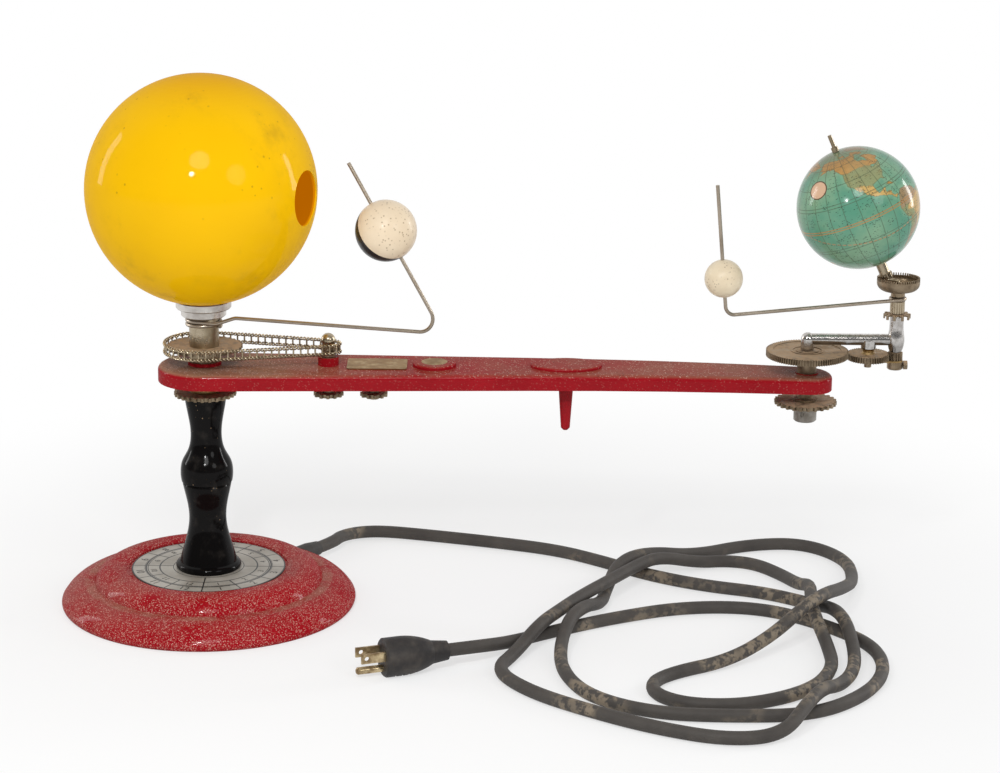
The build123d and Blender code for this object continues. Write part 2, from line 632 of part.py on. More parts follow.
def make_venus_shaft():
    x = VENUS_SHAFT_X
    r = VENUS_SHAFT_R
    lower = Pos(x, 0, LOWER_SPROCKET_Z) * lower_sprocket(VENUS_DRIVE_TEETH, 0.0)
    lower += disc(4.2, LOWER_SPROCKET_Z + LOWER_SPROCKET_T - 0.1, ARM_BOTTOM_Z - GAP, x)
    parts["venus_lower_sprocket"] = lower - disc(r + SEAT, 100, 200, x)
    parts["venus_shaft"] = disc(r, LOWER_SPROCKET_Z, CHAIN_Z + 5.0, x)
    upper = Pos(x, 0, UPPER_SPROCKET_Z) * upper_sprocket(VENUS_TOP_TEETH, math.pi / VENUS_TOP_TEETH)
    upper += disc(4.6, VENUS_BOSS_TOP_Z + GAP, UPPER_SPROCKET_Z + 0.1, x)
    parts["venus_upper_sprocket"] = upper - disc(r + SEAT, 100, 300, x)
    nut_z = UPPER_SPROCKET_Z + UPPER_SPROCKET_T
    nut = Pos(x, 0, nut_z + 4.1) * Sphere(CAP_NUT_R) & disc(10, nut_z, nut_z + 20, x)
    parts["cap_nut"] = nut - disc(r + SEAT, 100, CHAIN_Z + 5.05, x)
    tensioner = Pos(TENSIONER_X, 0, LOWER_SPROCKET_Z) * lower_sprocket(TENSIONER_TEETH, 0.3)
    parts["tensioner_sprocket"] = tensioner - disc(VENUS_SHAFT_R + RUN, 100, 200, TENSIONER_X)


def make_venus_sleeve():
    """Nickel sleeve on the arm's hub: it carries the big sprocket and the coiled Venus wire."""
    low = COLUMN_BOSS_TOP_Z + GAP
    sleeve = disc(SLEEVE_R, low, SLEEVE_TOP_Z) - disc(HUB_BUSH_R + RUN, 100, 300)
    parts["venus_sleeve"] = sleeve
    sprocket = Pos(0, 0, UPPER_SPROCKET_Z) * upper_sprocket(VENUS_SLEEVE_TEETH, math.pi)
    parts["venus_sleeve_sprocket"] = sprocket - disc(SLEEVE_R + SEAT, 100, 300)
    parts["venus_wire"] = make_venus_wire()
    bore = Plane(origin=VENUS_CORNER, z_dir=Vector(*VENUS_TIP) - Vector(*VENUS_CORNER)) * Cylinder(WIRE_R + RUN, 300)
    centre = along(VENUS_CORNER, VENUS_TIP, VENUS_BALL_UP)
    parts["venus_ball"] = Pos(centre) * Sphere(VENUS_BALL_R) - bore


def make_venus_wire():
    """Wire coiled round the sleeve, then led out level and bent up into the ball's rod."""
    coil_r = SLEEVE_R + WIRE_R + COIL_PLAY
    corner = Vector(*VENUS_CORNER)
    heading = math.atan2(corner.Y, corner.X) + math.asin(coil_r / math.hypot(corner.X, corner.Y))
    leave = heading - math.pi / 2
    half_side = math.pi / COIL_SIDES
    sides = round(VENUS_COIL_TURNS * COIL_SIDES)
    points = [(*polar(coil_r, leave - 2 * half_side * sides), VENUS_COIL_Z - VENUS_COIL_RISE * VENUS_COIL_TURNS)]
    for k in range(sides, 0, -1):
        side_z = VENUS_COIL_Z - VENUS_COIL_RISE * (k - 0.5) / COIL_SIDES
        points.append((*polar(coil_r / math.cos(half_side), leave - half_side * (2 * k - 1)), side_z))
    exit_x, exit_y = polar(coil_r, leave)
    for run, z in ((VENUS_LEVEL, VENUS_COIL_Z), (2 * VENUS_LEVEL, VENUS_WIRE_Z)):
        points.append((exit_x + run * math.cos(heading), exit_y + run * math.sin(heading), z))
    bends = [0.9 * coil_r] * sides + [8.0, 8.0, VENUS_BEND_R]
    return rod_through([*points, VENUS_CORNER, VENUS_TIP], WIRE_R, bends)


# Earth end

def make_crank():
    """Chromed crank: short leg over the shaft, level bar, and the post for the Moon sleeve."""
    leg = disc(CRANK_LEG_R, CRANK_LEG_Z, CRANK_BAR_Z, ARM_LENGTH)
    leg += Pos(ARM_LENGTH, 0, CRANK_BAR_Z) * Sphere(CRANK_LEG_R)
    bar_length = POST_X - ARM_LENGTH
    bar = Pos(ARM_LENGTH + bar_length / 2, 0, CRANK_BAR_Z) * Rot(0, 90, 0) * Cylinder(CRANK_BAR_R, bar_length)
    section = (
        Line((0, POST_BOTTOM_Z), (4.0, POST_BOTTOM_Z))
        + Spline((4.0, POST_BOTTOM_Z), (5.2, 182.0), (POST_BULGE_R, CRANK_BAR_Z), (5.1, 190.5), (POST_R, 195.5))
        + Line((POST_R, 195.5), (POST_R, POST_TOP_Z))
        + Line((POST_R, POST_TOP_Z), (0, POST_TOP_Z))
        + Line((0, POST_TOP_Z), (0, POST_BOTTOM_Z))
    )
    post = Pos(POST_X, 0, 0) * revolve(make_face(Plane.XZ * section), Axis.Z, 360)
    nub = disc(IDLER_BUSH_R + 0.5, IDLER_BUSH_TOP_Z + GAP, CRANK_BAR_Z, IDLER_X)
    body = leg + bar + post + nub
    body -= disc(CRANK_SHAFT_R + SEAT, 100, CRANK_BAR_Z, ARM_LENGTH)
    body -= disc(IDLER_STUD_R + SEAT, 100, CRANK_BAR_Z - 1.0, IDLER_X)
    return body - disc(SPINDLE_R + RUN, 100, 300, POST_X)


def make_star_washer():
    """Star washer on the post, its points turned down."""
    plate = Pos(POST_X, 0, POST_TOP_Z) * toothed_disc(STAR_POINTS, STAR_R, 5.6, 1.6, 3.0, 0.9)
    lug = Pos(STAR_R - 0.5, 0, -0.6) * Box(1.0, 1.6, 3.0)
    lugs = [Pos(POST_X, 0, POST_TOP_Z) * Rot(0, 0, 360 * k / STAR_POINTS) * lug for k in range(STAR_POINTS)]
    return plate.fuse(*lugs) - disc(SPINDLE_R + RUN, 100, 300, POST_X)


def earth_axis(distance):
    """The point on the Earth's tilted axis, this far above the middle of its pinion."""
    centre_x = POST_X - EARTH_PINION_REACH + EARTH_PINION_TIP_R * math.cos(TILT)
    return (centre_x - distance * math.sin(TILT), 0.0, EARTH_PINION_Z + distance * math.cos(TILT))


def on_axis(distance):
    """A plane square to the Earth's axis, its Z up the axis."""
    return Plane(origin=earth_axis(distance), x_dir=(math.cos(TILT), 0, math.sin(TILT)),
                 z_dir=(-math.sin(TILT), 0, math.cos(TILT)))


def axis_tube(radius, bore, low, high):
    body = on_axis(low) * Cylinder(radius, high - low, align=(Align.CENTER, Align.CENTER, Align.MIN))
    return body - on_axis(low - 5) * Cylinder(bore, high - low + 10, align=(Align.CENTER, Align.CENTER, Align.MIN))


def make_crank_group():
    x = ARM_LENGTH
    parts["crank"] = make_crank()
    shaft_low = EARTH_SPROCKET_Z - EARTH_HUB_H - 1.0
    parts["crank_shaft"] = disc(CRANK_SHAFT_R, shaft_low, CRANK_BAR_Z - 0.5, x)
    sprocket = Pos(x, 0, EARTH_SPROCKET_Z) * lower_sprocket(FIXED_TEETH, math.pi / FIXED_TEETH)
    parts["earth_end_sprocket"] = sprocket - disc(CRANK_SHAFT_R + SEAT, 100, 300, x)
    washer_z = EARTH_SPROCKET_Z + LOWER_SPROCKET_T
    arm_under = ARM_BOTTOM_Z - arm_bow(x)
    parts["sprocket_washer"] = ring(EARTH_WASHER_R, CRANK_SHAFT_R + SEAT, washer_z, washer_z + 1.4, x) + ring(
        5.2, CRANK_SHAFT_R + SEAT, washer_z + 1.2, arm_under - GAP - 0.3, x
    )
    hub = disc(EARTH_HUB_R, EARTH_SPROCKET_Z - EARTH_HUB_H, EARTH_SPROCKET_Z, x)
    hub = chamfer(hub.edges().group_by(Axis.Z)[0], 0.8)
    turn = Rot(0, 0, -115)
    screw_hole = turn * Pos(5.0, 0, 0) * Rot(0, 90, 0) * Cylinder(1.7, 8.0)
    screw_z = EARTH_SPROCKET_Z - EARTH_HUB_H / 2
    hub -= Pos(x, 0, screw_z) * screw_hole
    parts["sprocket_hub"] = hub - disc(CRANK_SHAFT_R + SEAT, 100, 300, x)
    screw = Pos(3.2 + 2.3, 0, 0) * Rot(0, 90, 0) * Cylinder(1.6, 4.6)
    slot = Pos(3.2 + 4.6, 0, 0) * Box(1.2, 0.6, 4.0)
    parts["hub_set_screw"] = Pos(x, 0, screw_z) * turn * (screw - slot)
    stud = disc(IDLER_STUD_R, STRAP_Z - 1.0, CRANK_BAR_Z - 1.5, IDLER_X)
    parts["idler_stud"] = stud + disc(2.4, STRAP_Z - 4.0, STRAP_Z, IDLER_X)
    strap_length = POST_X - IDLER_X
    strap = extrude(tapered_stadium(STRAP_R, STRAP_R - 0.01, strap_length), STRAP_T)
    strap = Pos(IDLER_X, 0, STRAP_Z) * strap
    strap -= disc(IDLER_STUD_R + SEAT, 100, 300, IDLER_X)
    parts["idler_strap"] = strap - disc(AXLE_R + SEAT, 100, 300, POST_X)
    collar = disc(ROD_COLLAR_R, STRAP_Z - ROD_COLLAR_H, STRAP_Z, POST_X)
    collar = chamfer(collar.edges().group_by(Axis.Z)[0], 0.6)
    collar -= disc(AXLE_R + SEAT, 100, 300, POST_X)
    screw_z = STRAP_Z - ROD_COLLAR_H / 2
    collar -= Pos(POST_X + 4.0, 0, screw_z) * Rot(0, 90, 0) * Cylinder(1.1, 6.0)
    parts["rod_collar"] = collar
    thumb = Pos(POST_X + 4.1, 0, screw_z) * Rot(0, 90, 0) * Cylinder(1.0, 5.2)
    thumb += Pos(POST_X + ROD_COLLAR_R + 1.6, 0, screw_z) * Rot(0, 90, 0) * Cylinder(2.9, 2.6)
    parts["rod_set_screw"] = thumb
    parts["star_washer"] = make_star_washer()
    parts["earth_axle"] = make_earth_axle()
    north = EARTH_UP + EARTH_R
    parts["pole_collar"] = axis_tube(2.3, AXLE_R + SEAT, north + GAP, north + 3.2)


def make_earth_axle():
    """Fixed rod: up through the Moon sleeve, cranked over inside the cup, then along the tilted axis."""
    over_z = EARTH_PINION_Z - 3.5
    corner = earth_axis(-3.16)
    points = [(POST_X, 0, STRAP_Z - ROD_COLLAR_H), (POST_X, 0, over_z), corner, earth_axis(AXLE_TIP)]
    rod = rod_through(points, AXLE_R, [2.6, 2.0])
    return rod


def make_idler():
    gear = spur_gear(IDLER_TEETH, IDLER_T, math.pi + math.pi / IDLER_TEETH)
    gear = Pos(IDLER_X, 0, IDLER_Z) * gear
    parts["idler_gear"] = gear - disc(IDLER_STUD_R + RUN, 100, 300, IDLER_X)
    bush = turned([
        (IDLER_STUD_R + RUN, 0), (IDLER_BUSH_R, 0), (IDLER_BUSH_R - 0.9, 1.2), (IDLER_BUSH_R - 0.9, 2.2),
        (IDLER_BUSH_R, IDLER_BUSH_TOP_Z - IDLER_Z - IDLER_T), (IDLER_STUD_R + RUN, IDLER_BUSH_TOP_Z - IDLER_Z - IDLER_T),
    ])
    parts["idler_bush"] = Pos(IDLER_X, 0, IDLER_Z + IDLER_T) * bush


def make_moon_sleeve():
    """Everything that turns with the Moon: pinion, hollow spindle, fluted sleeve, cup gear and wire."""
    bore = disc(SPINDLE_R + SEAT, 100, 300, POST_X)
    parts["moon_spindle"] = ring(SPINDLE_R, AXLE_R + RUN, PINION_Z, SPINDLE_TOP_Z, POST_X)
    pinion = Pos(POST_X, 0, PINION_Z) * spur_gear(PINION_TEETH, PINION_T, math.pi + math.pi / PINION_TEETH)
    parts["moon_pinion"] = pinion - bore
    flutes = toothed_disc(20, FLUTED_R, FLUTED_R - 0.4, 0.8, 1.1, FLUTED_TOP_Z - FLUTED_BOTTOM_Z)
    sleeve = Pos(POST_X, 0, FLUTED_BOTTOM_Z) * flutes + disc(NECK_R, FLUTED_TOP_Z - 1, CUP_HUB_Z, POST_X)
    parts["fluted_sleeve"] = sleeve - bore
    parts["cup_gear"] = make_cup() - bore
    parts["moon_wire"] = make_moon_wire()
    rod = Vector(*MOON_TIP) - Vector(*MOON_CORNER)
    hole = Plane(origin=MOON_CORNER, z_dir=rod) * Cylinder(WIRE_R + RUN, 300)
    parts["moon_ball"] = Pos(along(MOON_CORNER, MOON_TIP, MOON_BALL_UP)) * Sphere(MOON_BALL_R) - hole


def make_cup():
    """Cup gear: a shallow bowl whose rim is cut into teeth that drive the Earth's pinion."""
    inner = CUP_R - CUP_WALL
    low = CUP_BOTTOM_Z
    root = CUP_RIM_Z - CUP_TOOTH_H
    hub_r = 4.6
    section = (
        Line((0, CUP_HUB_Z), (hub_r, CUP_HUB_Z))
        + Line((hub_r, CUP_HUB_Z), (hub_r, low))
        + Line((hub_r, low), (CUP_R - 5.2, low))
        + ThreePointArc((CUP_R - 5.2, low), (CUP_R - 1.5, low + 1.6), (CUP_R, low + 5.2))
        + Line((CUP_R, low + 5.2), (CUP_R, root))
        + Line((CUP_R, root), (inner, root))
        + Line((inner, root), (inner, low + 5.4))
        + ThreePointArc((inner, low + 5.4), (inner - 1.3, low + 2.8), (inner - 4.4, low + CUP_WALL))
        + Line((inner - 4.4, low + CUP_WALL), (0, low + CUP_WALL))
        + Line((0, low + CUP_WALL), (0, CUP_HUB_Z))
    )
    bowl = revolve(make_face(Plane.XZ * section), Axis.Z, 360)
    pitch = 2 * math.pi * (inner + CUP_WALL / 2) / CUP_TEETH
    tooth = Pos(inner + CUP_WALL / 2, 0, root + CUP_TOOTH_H / 2 - 0.1) * Box(
        CUP_WALL - 0.1, pitch - CUP_SLOT, CUP_TOOTH_H + 0.2
    )
    half = 180 / CUP_TEETH
    teeth = [Rot(0, 0, 180 + half + 360 * k / CUP_TEETH) * tooth for k in range(CUP_TEETH)]
    return Pos(POST_X, 0, 0) * bowl.fuse(*teeth)


def make_moon_wire():
    """Wire looped once round the neck of the sleeve, led out level and bent up into the Moon's rod."""
    loop_r = NECK_R + WIRE_R + SEAT
    dx = MOON_CORNER[0] - POST_X
    dy = MOON_CORNER[1]
    heading = math.atan2(dy, dx) - math.asin(loop_r / math.hypot(dx, dy))
    leave = heading + math.pi / 2
    spot = polar(loop_r, leave)
    start = (POST_X + spot[0], spot[1], MOON_LOOP_Z)
    rod = rod_through([start, MOON_CORNER, MOON_TIP], WIRE_R, [MOON_BEND_R])
    return Pos(POST_X, 0, MOON_LOOP_Z) * Torus(loop_r, WIRE_R) + rod


def make_earth():
    """Hollow globe on its pinion's tube, tilted."""
    bore = AXLE_R + RUN
    south = EARTH_UP - EARTH_R
    teeth = toothed_disc(
        EARTH_PINION_TEETH, EARTH_PINION_TIP_R, EARTH_PINION_ROOT_R, 0.5, 0.95, EARTH_PINION_T, math.pi
    )
    pinion = on_axis(-EARTH_PINION_T / 2) * teeth
    pinion += axis_tube(3.4, bore, EARTH_PINION_T / 2 - 0.1, south - 0.05) + axis_tube(2.2, bore, south - 1, south + 6)
    parts["earth_pinion"] = pinion - on_axis(-20) * Cylinder(bore, 80, align=(Align.CENTER, Align.CENTER, Align.MIN))
    globe = Pos(*earth_axis(EARTH_UP)) * (Sphere(EARTH_R) - Sphere(EARTH_R - EARTH_WALL))
    globe -= on_axis(south - 5) * Cylinder(2.2 + SEAT, 20, align=(Align.CENTER, Align.CENTER, Align.MIN))
    globe -= on_axis(EARTH_UP + 5) * Cylinder(bore, 60, align=(Align.CENTER, Align.CENTER, Align.MIN))
    parts["earth_globe"] = globe


# Power cord

CORD_ROUTE = [
    (82.5, 117.5, 6.6), (95.0, 130.5, 5.2), (112.0, 135.5, 4.3), (142.0, 128.0, 4.3),
    (192.0, 113.0, 4.3), (236.0, 97.0, 4.3), (268.0, 73.0, 4.3), (298.0, 46.0, 4.3), (335.0, 25.0, 4.3),
    (376.0, 12.0, 4.3), (406.0, -10.0, 4.3), (417.0, -44.0, 14.0), (422.0, -72.0, 14.2), (424.0, -106.0, 5.0),
    (419.0, -136.0, 4.3), (408.0, -160.0, 5.2), (395.0, -186.0, 14.2), (383.0, -211.0, 14.2), (366.0, -240.0, 5.0),
    (332.0, -246.0, 4.3), (291.0, -229.0, 4.3), (252.0, -203.0, 4.3), (214.0, -171.0, 4.3), (193.0, -135.0, 4.3),
    (206.0, -106.0, 4.6), (222.0, -78.0, 14.2), (236.0, -52.0, 14.6), (250.0, -24.0, 14.0), (272.0, 9.0, 14.4),
    (290.0, 38.0, 14.2), (306.0, 56.0, 14.2), (334.0, 71.0, 5.0), (354.0, 77.0, 4.3), (374.0, 71.0, 4.3),
    (390.0, 49.0, 4.3), (400.0, 24.0, 6.0), (405.0, 0.0, 14.8), (403.0, -26.0, 14.6), (402.0, -56.0, 14.4),
    (408.0, -90.0, 5.0), (408.0, -128.0, 4.3), (390.0, -166.0, 4.3), (352.0, -190.0, 4.3), (316.0, -192.0, 4.3),
    (294.0, -178.0, 4.3), (290.0, -156.0, 4.3), (306.0, -137.0, 4.3), (341.0, -118.0, 4.8), (370.0, -96.0, 13.0),
    (395.0, -67.0, 24.0), (410.0, -44.0, 24.4), (426.0, -8.0, 15.0), (439.0, 36.0, 4.6), (439.0, 82.0, 4.3),
    (412.0, 116.0, 4.3), (372.0, 112.0, 4.3), (332.0, 87.0, 4.6), (298.0, 66.0, 14.2), (277.0, 44.0, 14.2),
    (268.0, 14.0, 4.4), (264.0, -12.0, 4.3), (252.0, -44.0, 14.4), (241.0, -68.0, 14.2), (234.5, -99.0, 5.0),
    (236.0, -140.0, 4.3), (252.0, -180.0, 4.3), (290.0, -205.0, 4.3), (336.0, -209.0, 4.3), (388.0, -206.0, 4.3),
    (424.0, -172.0, 4.3), (441.0, -130.0, 4.3), (438.0, -86.0, 4.3), (410.0, -49.0, 4.3), (372.0, -18.0, 4.3),
    (320.0, -17.0, 4.3), (270.0, -40.0, 4.3), (230.0, -66.0, 4.3), (203.0, -91.0, 6.2), (182.0, -113.0, 11.5),
]


def bend_radii(points):
    """The largest bend at each point that leaves a tenth of the shorter run straight."""
    radii = []
    for before, here, after in zip(points, points[1:], points[2:]):
        run_in = Vector(*here) - Vector(*before)
        run_out = Vector(*after) - Vector(*here)
        half_turn = math.radians(run_in.get_angle(run_out)) / 2
        radii.append(0.45 * min(run_in.length, run_out.length) / math.tan(half_turn))
    return radii


def make_cord():
    outward = gland_axis().z_dir
    start = gland_axis().origin + outward * (GLAND_END - GLAND_START)
    points = [tuple(start), tuple(start + outward * CORD_FIRST_RUN), *CORD_ROUTE, PLUG_NECK]
    radii = bend_radii(points)
    path = FilletPolyline(*points, radius=radii)
    tube = sweep(Plane(origin=path @ 0, z_dir=path % 0) * Circle(CORD_R), path)
    section_volume = math.pi * CORD_R**2 * path.length
    print("cord radii", [round(r) for r in radii])
    print("cord length", round(path.length), "volume against section times length", round(tube.volume / section_volume, 4))
    return tube


def make_plug():
    """Moulded rubber plug lying on the table, its blades and ground pin of brass."""
    heading = math.atan2(-PLUG_NECK[1] + CORD_ROUTE[-1][1], -PLUG_NECK[0] + CORD_ROUTE[-1][0]) + math.pi
    frame = Plane(origin=PLUG_NECK, x_dir=(0, 0, 1), z_dir=(math.cos(heading), math.sin(heading), 0))
    relief = [(0, 0, 0), (PLUG_RELIEF_R, 0, 0), (PLUG_RELIEF_R + 1.4, 0, PLUG_RELIEF), (0, 0, PLUG_RELIEF)]
    body = revolve(make_face(Polyline(*relief, close=True)), Axis.Z, 360)
    rear = Plane.XY.offset(PLUG_RELIEF - 0.5) * Circle(PLUG_RELIEF_R + 1.4)
    waist = Plane.XY.offset(PLUG_RELIEF + 10.0) * Circle(PLUG_BODY_R - 1.2)
    front = Plane.XY.offset(PLUG_LENGTH - 9.0) * Circle(PLUG_BODY_R)
    face = Plane.XY.offset(PLUG_LENGTH) * Circle(PLUG_BODY_R)
    body += loft([rear, waist, front])
    body += loft([front, face])
    body = chamfer(body.edges().group_by(Axis.Z)[-1], 1.0)
    body -= Pos(-PLUG_NECK[2] - 20, 0, PLUG_LENGTH / 2) * Box(40, 60, PLUG_LENGTH * 2)
    for k in range(4):
        groove = Pos(-PLUG_BODY_R + 1.0, 0, PLUG_LENGTH - 7.0 - 4.5 * k) * Box(5.0, 40, 1.4)
        body -= groove
    blade = Box(PLUG_BLADE_WIDTH, PLUG_BLADE_T, PLUG_BLADE + 2.0, align=(Align.CENTER, Align.CENTER, Align.MIN))
    hole = Rot(90, 0, 0) * Cylinder(1.5, 10)
    blade -= Pos(0, 0, PLUG_BLADE - 1.6) * hole
    blade_base = PLUG_LENGTH - 2.0
    left = Pos(PLUG_BLADE_UP, PLUG_BLADE_SPREAD / 2, blade_base) * blade
    right = Pos(PLUG_BLADE_UP, -PLUG_BLADE_SPREAD / 2, blade_base) * blade
    pin = Pos(-PLUG_PIN_DOWN, 0, blade_base) * Cylinder(
        PLUG_PIN_R, PLUG_BLADE + 3.5, align=(Align.CENTER, Align.CENTER, Align.MIN)
    )
    pin = chamfer(pin.edges().group_by(Axis.Z)[-1], 0.9)
    blades = Compound([frame * left, frame * right, frame * pin])
    return frame * body - blades, blades


make_stand()
make_arm()
make_sun()
make_venus_shaft()
make_venus_sleeve()
make_crank_group()
make_idler()
make_moon_sleeve()
make_earth()
parts["power_cord"] = make_cord()
parts["plug_body"], parts["plug_blades"] = make_plug()

os.makedirs("parts", exist_ok=True)
for name, shape in parts.items():
    export_step(shape, f"parts/{name}.step")
    print(name, round(shape.volume, 1))
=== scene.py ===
import math
import bmesh
import bpy
import numpy as np
from mathutils import Matrix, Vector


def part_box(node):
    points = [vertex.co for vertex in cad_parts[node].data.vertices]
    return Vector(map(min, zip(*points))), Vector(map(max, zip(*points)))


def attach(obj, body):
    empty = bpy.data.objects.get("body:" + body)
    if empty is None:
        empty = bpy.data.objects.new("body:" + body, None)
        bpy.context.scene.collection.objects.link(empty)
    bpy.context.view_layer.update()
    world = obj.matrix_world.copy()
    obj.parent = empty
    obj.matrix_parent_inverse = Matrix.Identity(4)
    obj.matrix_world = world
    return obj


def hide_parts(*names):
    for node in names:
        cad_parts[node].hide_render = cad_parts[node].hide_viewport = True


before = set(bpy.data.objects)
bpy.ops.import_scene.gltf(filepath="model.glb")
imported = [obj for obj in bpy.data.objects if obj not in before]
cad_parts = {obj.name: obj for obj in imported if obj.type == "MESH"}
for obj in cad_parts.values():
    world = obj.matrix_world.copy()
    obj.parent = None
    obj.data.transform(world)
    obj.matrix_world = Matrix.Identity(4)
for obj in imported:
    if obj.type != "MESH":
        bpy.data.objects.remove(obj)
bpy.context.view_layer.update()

# Camera. It stands 1.9 m in front of the column, looks a little down at the object and is turned
# a hair about its own axis, as the photograph was taken.

EYE = np.array([0.194956, -1.9, 0.69458])
PITCH = 0.27830
ROLL = 0.0079253
LENS_MM = 107.588

forward = np.array([0.0, math.cos(PITCH), -math.sin(PITCH)])
level_right = np.array([1.0, 0.0, 0.0])
level_up = np.cross(level_right, forward)
right = level_right * math.cos(ROLL) + level_up * math.sin(ROLL)
up = level_up * math.cos(ROLL) - level_right * math.sin(ROLL)
camera_data = bpy.data.cameras.new("camera")
camera_data.lens = LENS_MM
camera_data.sensor_width = 36.0
camera_data.clip_end = 50.0
camera = bpy.data.objects.new("camera", camera_data)
bpy.context.scene.collection.objects.link(camera)
camera.matrix_world = Matrix((
    (right[0], up[0], -forward[0], EYE[0]),
    (right[1], up[1], -forward[1], EYE[1]),
    (right[2], up[2], -forward[2], EYE[2]),
    (0.0, 0.0, 0.0, 1.0),
))
bpy.context.scene.camera = camera
bpy.context.scene.view_settings.view_transform = "Standard"

UP = (0.0, 0.0, 1.0)


# Shader expressions. A Term wraps one socket, so that a finish is written as sums and products;
# colours and directions go through Mix and Vector Math, and every other node through Paint.node.

class Term:
    def __init__(self, paint, socket):
        self.paint = paint
        self.socket = socket

    def maths(self, operation, *others):
        return self.paint.node("ShaderNodeMath", {"operation": operation}, self, *others)

    def __add__(self, other):
        return self.maths("ADD", other)

    def __mul__(self, other):
        return self.maths("MULTIPLY", other)

    def __sub__(self, other):
        return self.maths("SUBTRACT", other)

    def __rsub__(self, other):
        return self.paint.node("ShaderNodeMath", {"operation": "SUBTRACT"}, other, self)

    def __truediv__(self, other):
        return self.maths("DIVIDE", other)

    def __gt__(self, other):
        return self.maths("GREATER_THAN", other)

    def __lt__(self, other):
        return self.maths("LESS_THAN", other)

    def step(self, low, high):
        """0 below low, 1 above high, smooth between; low above high turns it round."""
        return self.paint.node(
            "ShaderNodeMapRange", {"interpolation_type": "SMOOTHSTEP"}, self, low, high, 0.0, 1.0
        )


class Paint:
    """One procedural material: a Principled shader and the expressions that feed it."""

    def __init__(self, name, roughness=0.5, metallic=0.0, coat=0.0, coat_roughness=0.05, sheen=0.3):
        self.material = bpy.data.materials.new(name)
        self.material.use_nodes = True
        self.tree = self.material.node_tree
        self.shader = self.tree.nodes["Principled BSDF"]
        self.shader.inputs["Roughness"].default_value = roughness
        self.shader.inputs["Metallic"].default_value = metallic
        self.shader.inputs["Specular IOR Level"].default_value = sheen
        self.shader.inputs["Coat Weight"].default_value = coat
        self.shader.inputs["Coat Roughness"].default_value = coat_roughness
        place = self.tree.nodes.new("ShaderNodeTexCoord")
        self.place = Term(self, place.outputs["Object"])

    def node(self, kind, settings, *values, output=0):
        made = self.tree.nodes.new(kind)
        for key, value in settings.items():
            if key == "stops":
                ramp = made.color_ramp
                for k, (position, colour) in enumerate(value):
                    stop = ramp.elements[k] if k < 2 else ramp.elements.new(position)
                    stop.position = position
                    stop.color = (*colour, 1.0)
            else:
                setattr(made, key, value)
        sockets = [s for s in made.inputs if s.enabled]
        for socket, value in zip(sockets, values):
            if isinstance(value, Term):
                self.tree.links.new(value.socket, socket)
            elif value is not None:
                socket.default_value = value
        found = [s for s in made.outputs if s.enabled]
        return Term(self, found[output])

    def noise(self, scale, detail=3.0, where=None, roughness=0.55):
        return self.node("ShaderNodeTexNoise", {}, where or self.place, scale, detail, roughness)

    def specks(self, scale, size, where=None):
        """1 inside small round dots scattered at random, 0 between them."""
        cell = self.node("ShaderNodeTexVoronoi", {}, where or self.place, scale)
        return cell.step(size, size * 0.55)

    def blend(self, factor, low, high):
        low = (*low, 1.0) if isinstance(low, tuple) else low
        high = (*high, 1.0) if isinstance(high, tuple) else high
        mix = self.tree.nodes.new("ShaderNodeMix")
        mix.data_type = "RGBA"
        for name, value in (("Factor_Float", factor), ("A_Color", low), ("B_Color", high)):
            socket = next(s for s in mix.inputs if s.identifier == name)
            if isinstance(value, Term):
                self.tree.links.new(value.socket, socket)
            else:
                socket.default_value = value
        return Term(self, next(s for s in mix.outputs if s.identifier == "Result_Color"))

    def axis(self, index):
        return self.node("ShaderNodeSeparateXYZ", {}, self.place, output=index)

    def vector_maths(self, operation, *values):
        return self.node("ShaderNodeVectorMath", {"operation": operation}, *values)

    def facing(self, direction):
        """How far the surface faces a direction, from -1 to 1."""
        geometry = self.tree.nodes.new("ShaderNodeNewGeometry")
        return self.vector_maths("DOT_PRODUCT", Term(self, geometry.outputs["Normal"]), direction)

    def colour(self, value):
        self.feed("Base Color", value)

    def feed(self, name, value):
        if isinstance(value, Term):
            self.tree.links.new(value.socket, self.shader.inputs[name])
        else:
            self.shader.inputs[name].default_value = (*value, 1.0) if isinstance(value, tuple) else value

    def bump(self, height, depth):
        """Depth in metres of a height that runs from 0 to 1."""
        bump = self.tree.nodes.new("ShaderNodeBump")
        bump.inputs["Distance"].default_value = depth
        self.tree.links.new(height.socket, bump.inputs["Height"])
        self.tree.links.new(bump.outputs["Normal"], self.shader.inputs["Normal"])


def dress(paint, *nodes):
    """Gives one finish to frame nodes or new pieces."""
    for node in nodes:
        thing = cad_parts[node] if isinstance(node, str) else node
        thing.data.materials.clear()
        thing.data.materials.append(paint.material)


def new_piece(name, points, faces):
    """A smooth-shaded mesh of its own, from an array of points and a list of faces."""
    mesh = bpy.data.meshes.new(name)
    mesh.from_pydata(points.reshape(-1, 3).tolist(), [], faces)
    mesh.polygons.foreach_set("use_smooth", np.ones(len(mesh.polygons), dtype=bool))
    piece = bpy.data.objects.new(name, mesh)
    bpy.context.scene.collection.objects.link(piece)
    return piece


def surface(name, points, closed=False):
    """A mesh over a grid of points, an (n, m, 3) array; closed joins its last row to its first."""
    n, m = points.shape[:2]
    i, j = np.meshgrid(np.arange(n if closed else n - 1), np.arange(m - 1), indexing="ij")
    i, j = i.ravel(), j.ravel()
    i_next = (i + 1) % n
    quads = np.stack([i * m + j, i_next * m + j, i_next * m + j + 1, i * m + j + 1], axis=1)
    return new_piece(name, points, quads.tolist())


# Power cord. A round rubber mains lead, grey with dirt and with tan scuffs, laid on the table in
# loose loops that cross over each other, from the gland in the base to the moulded plug.

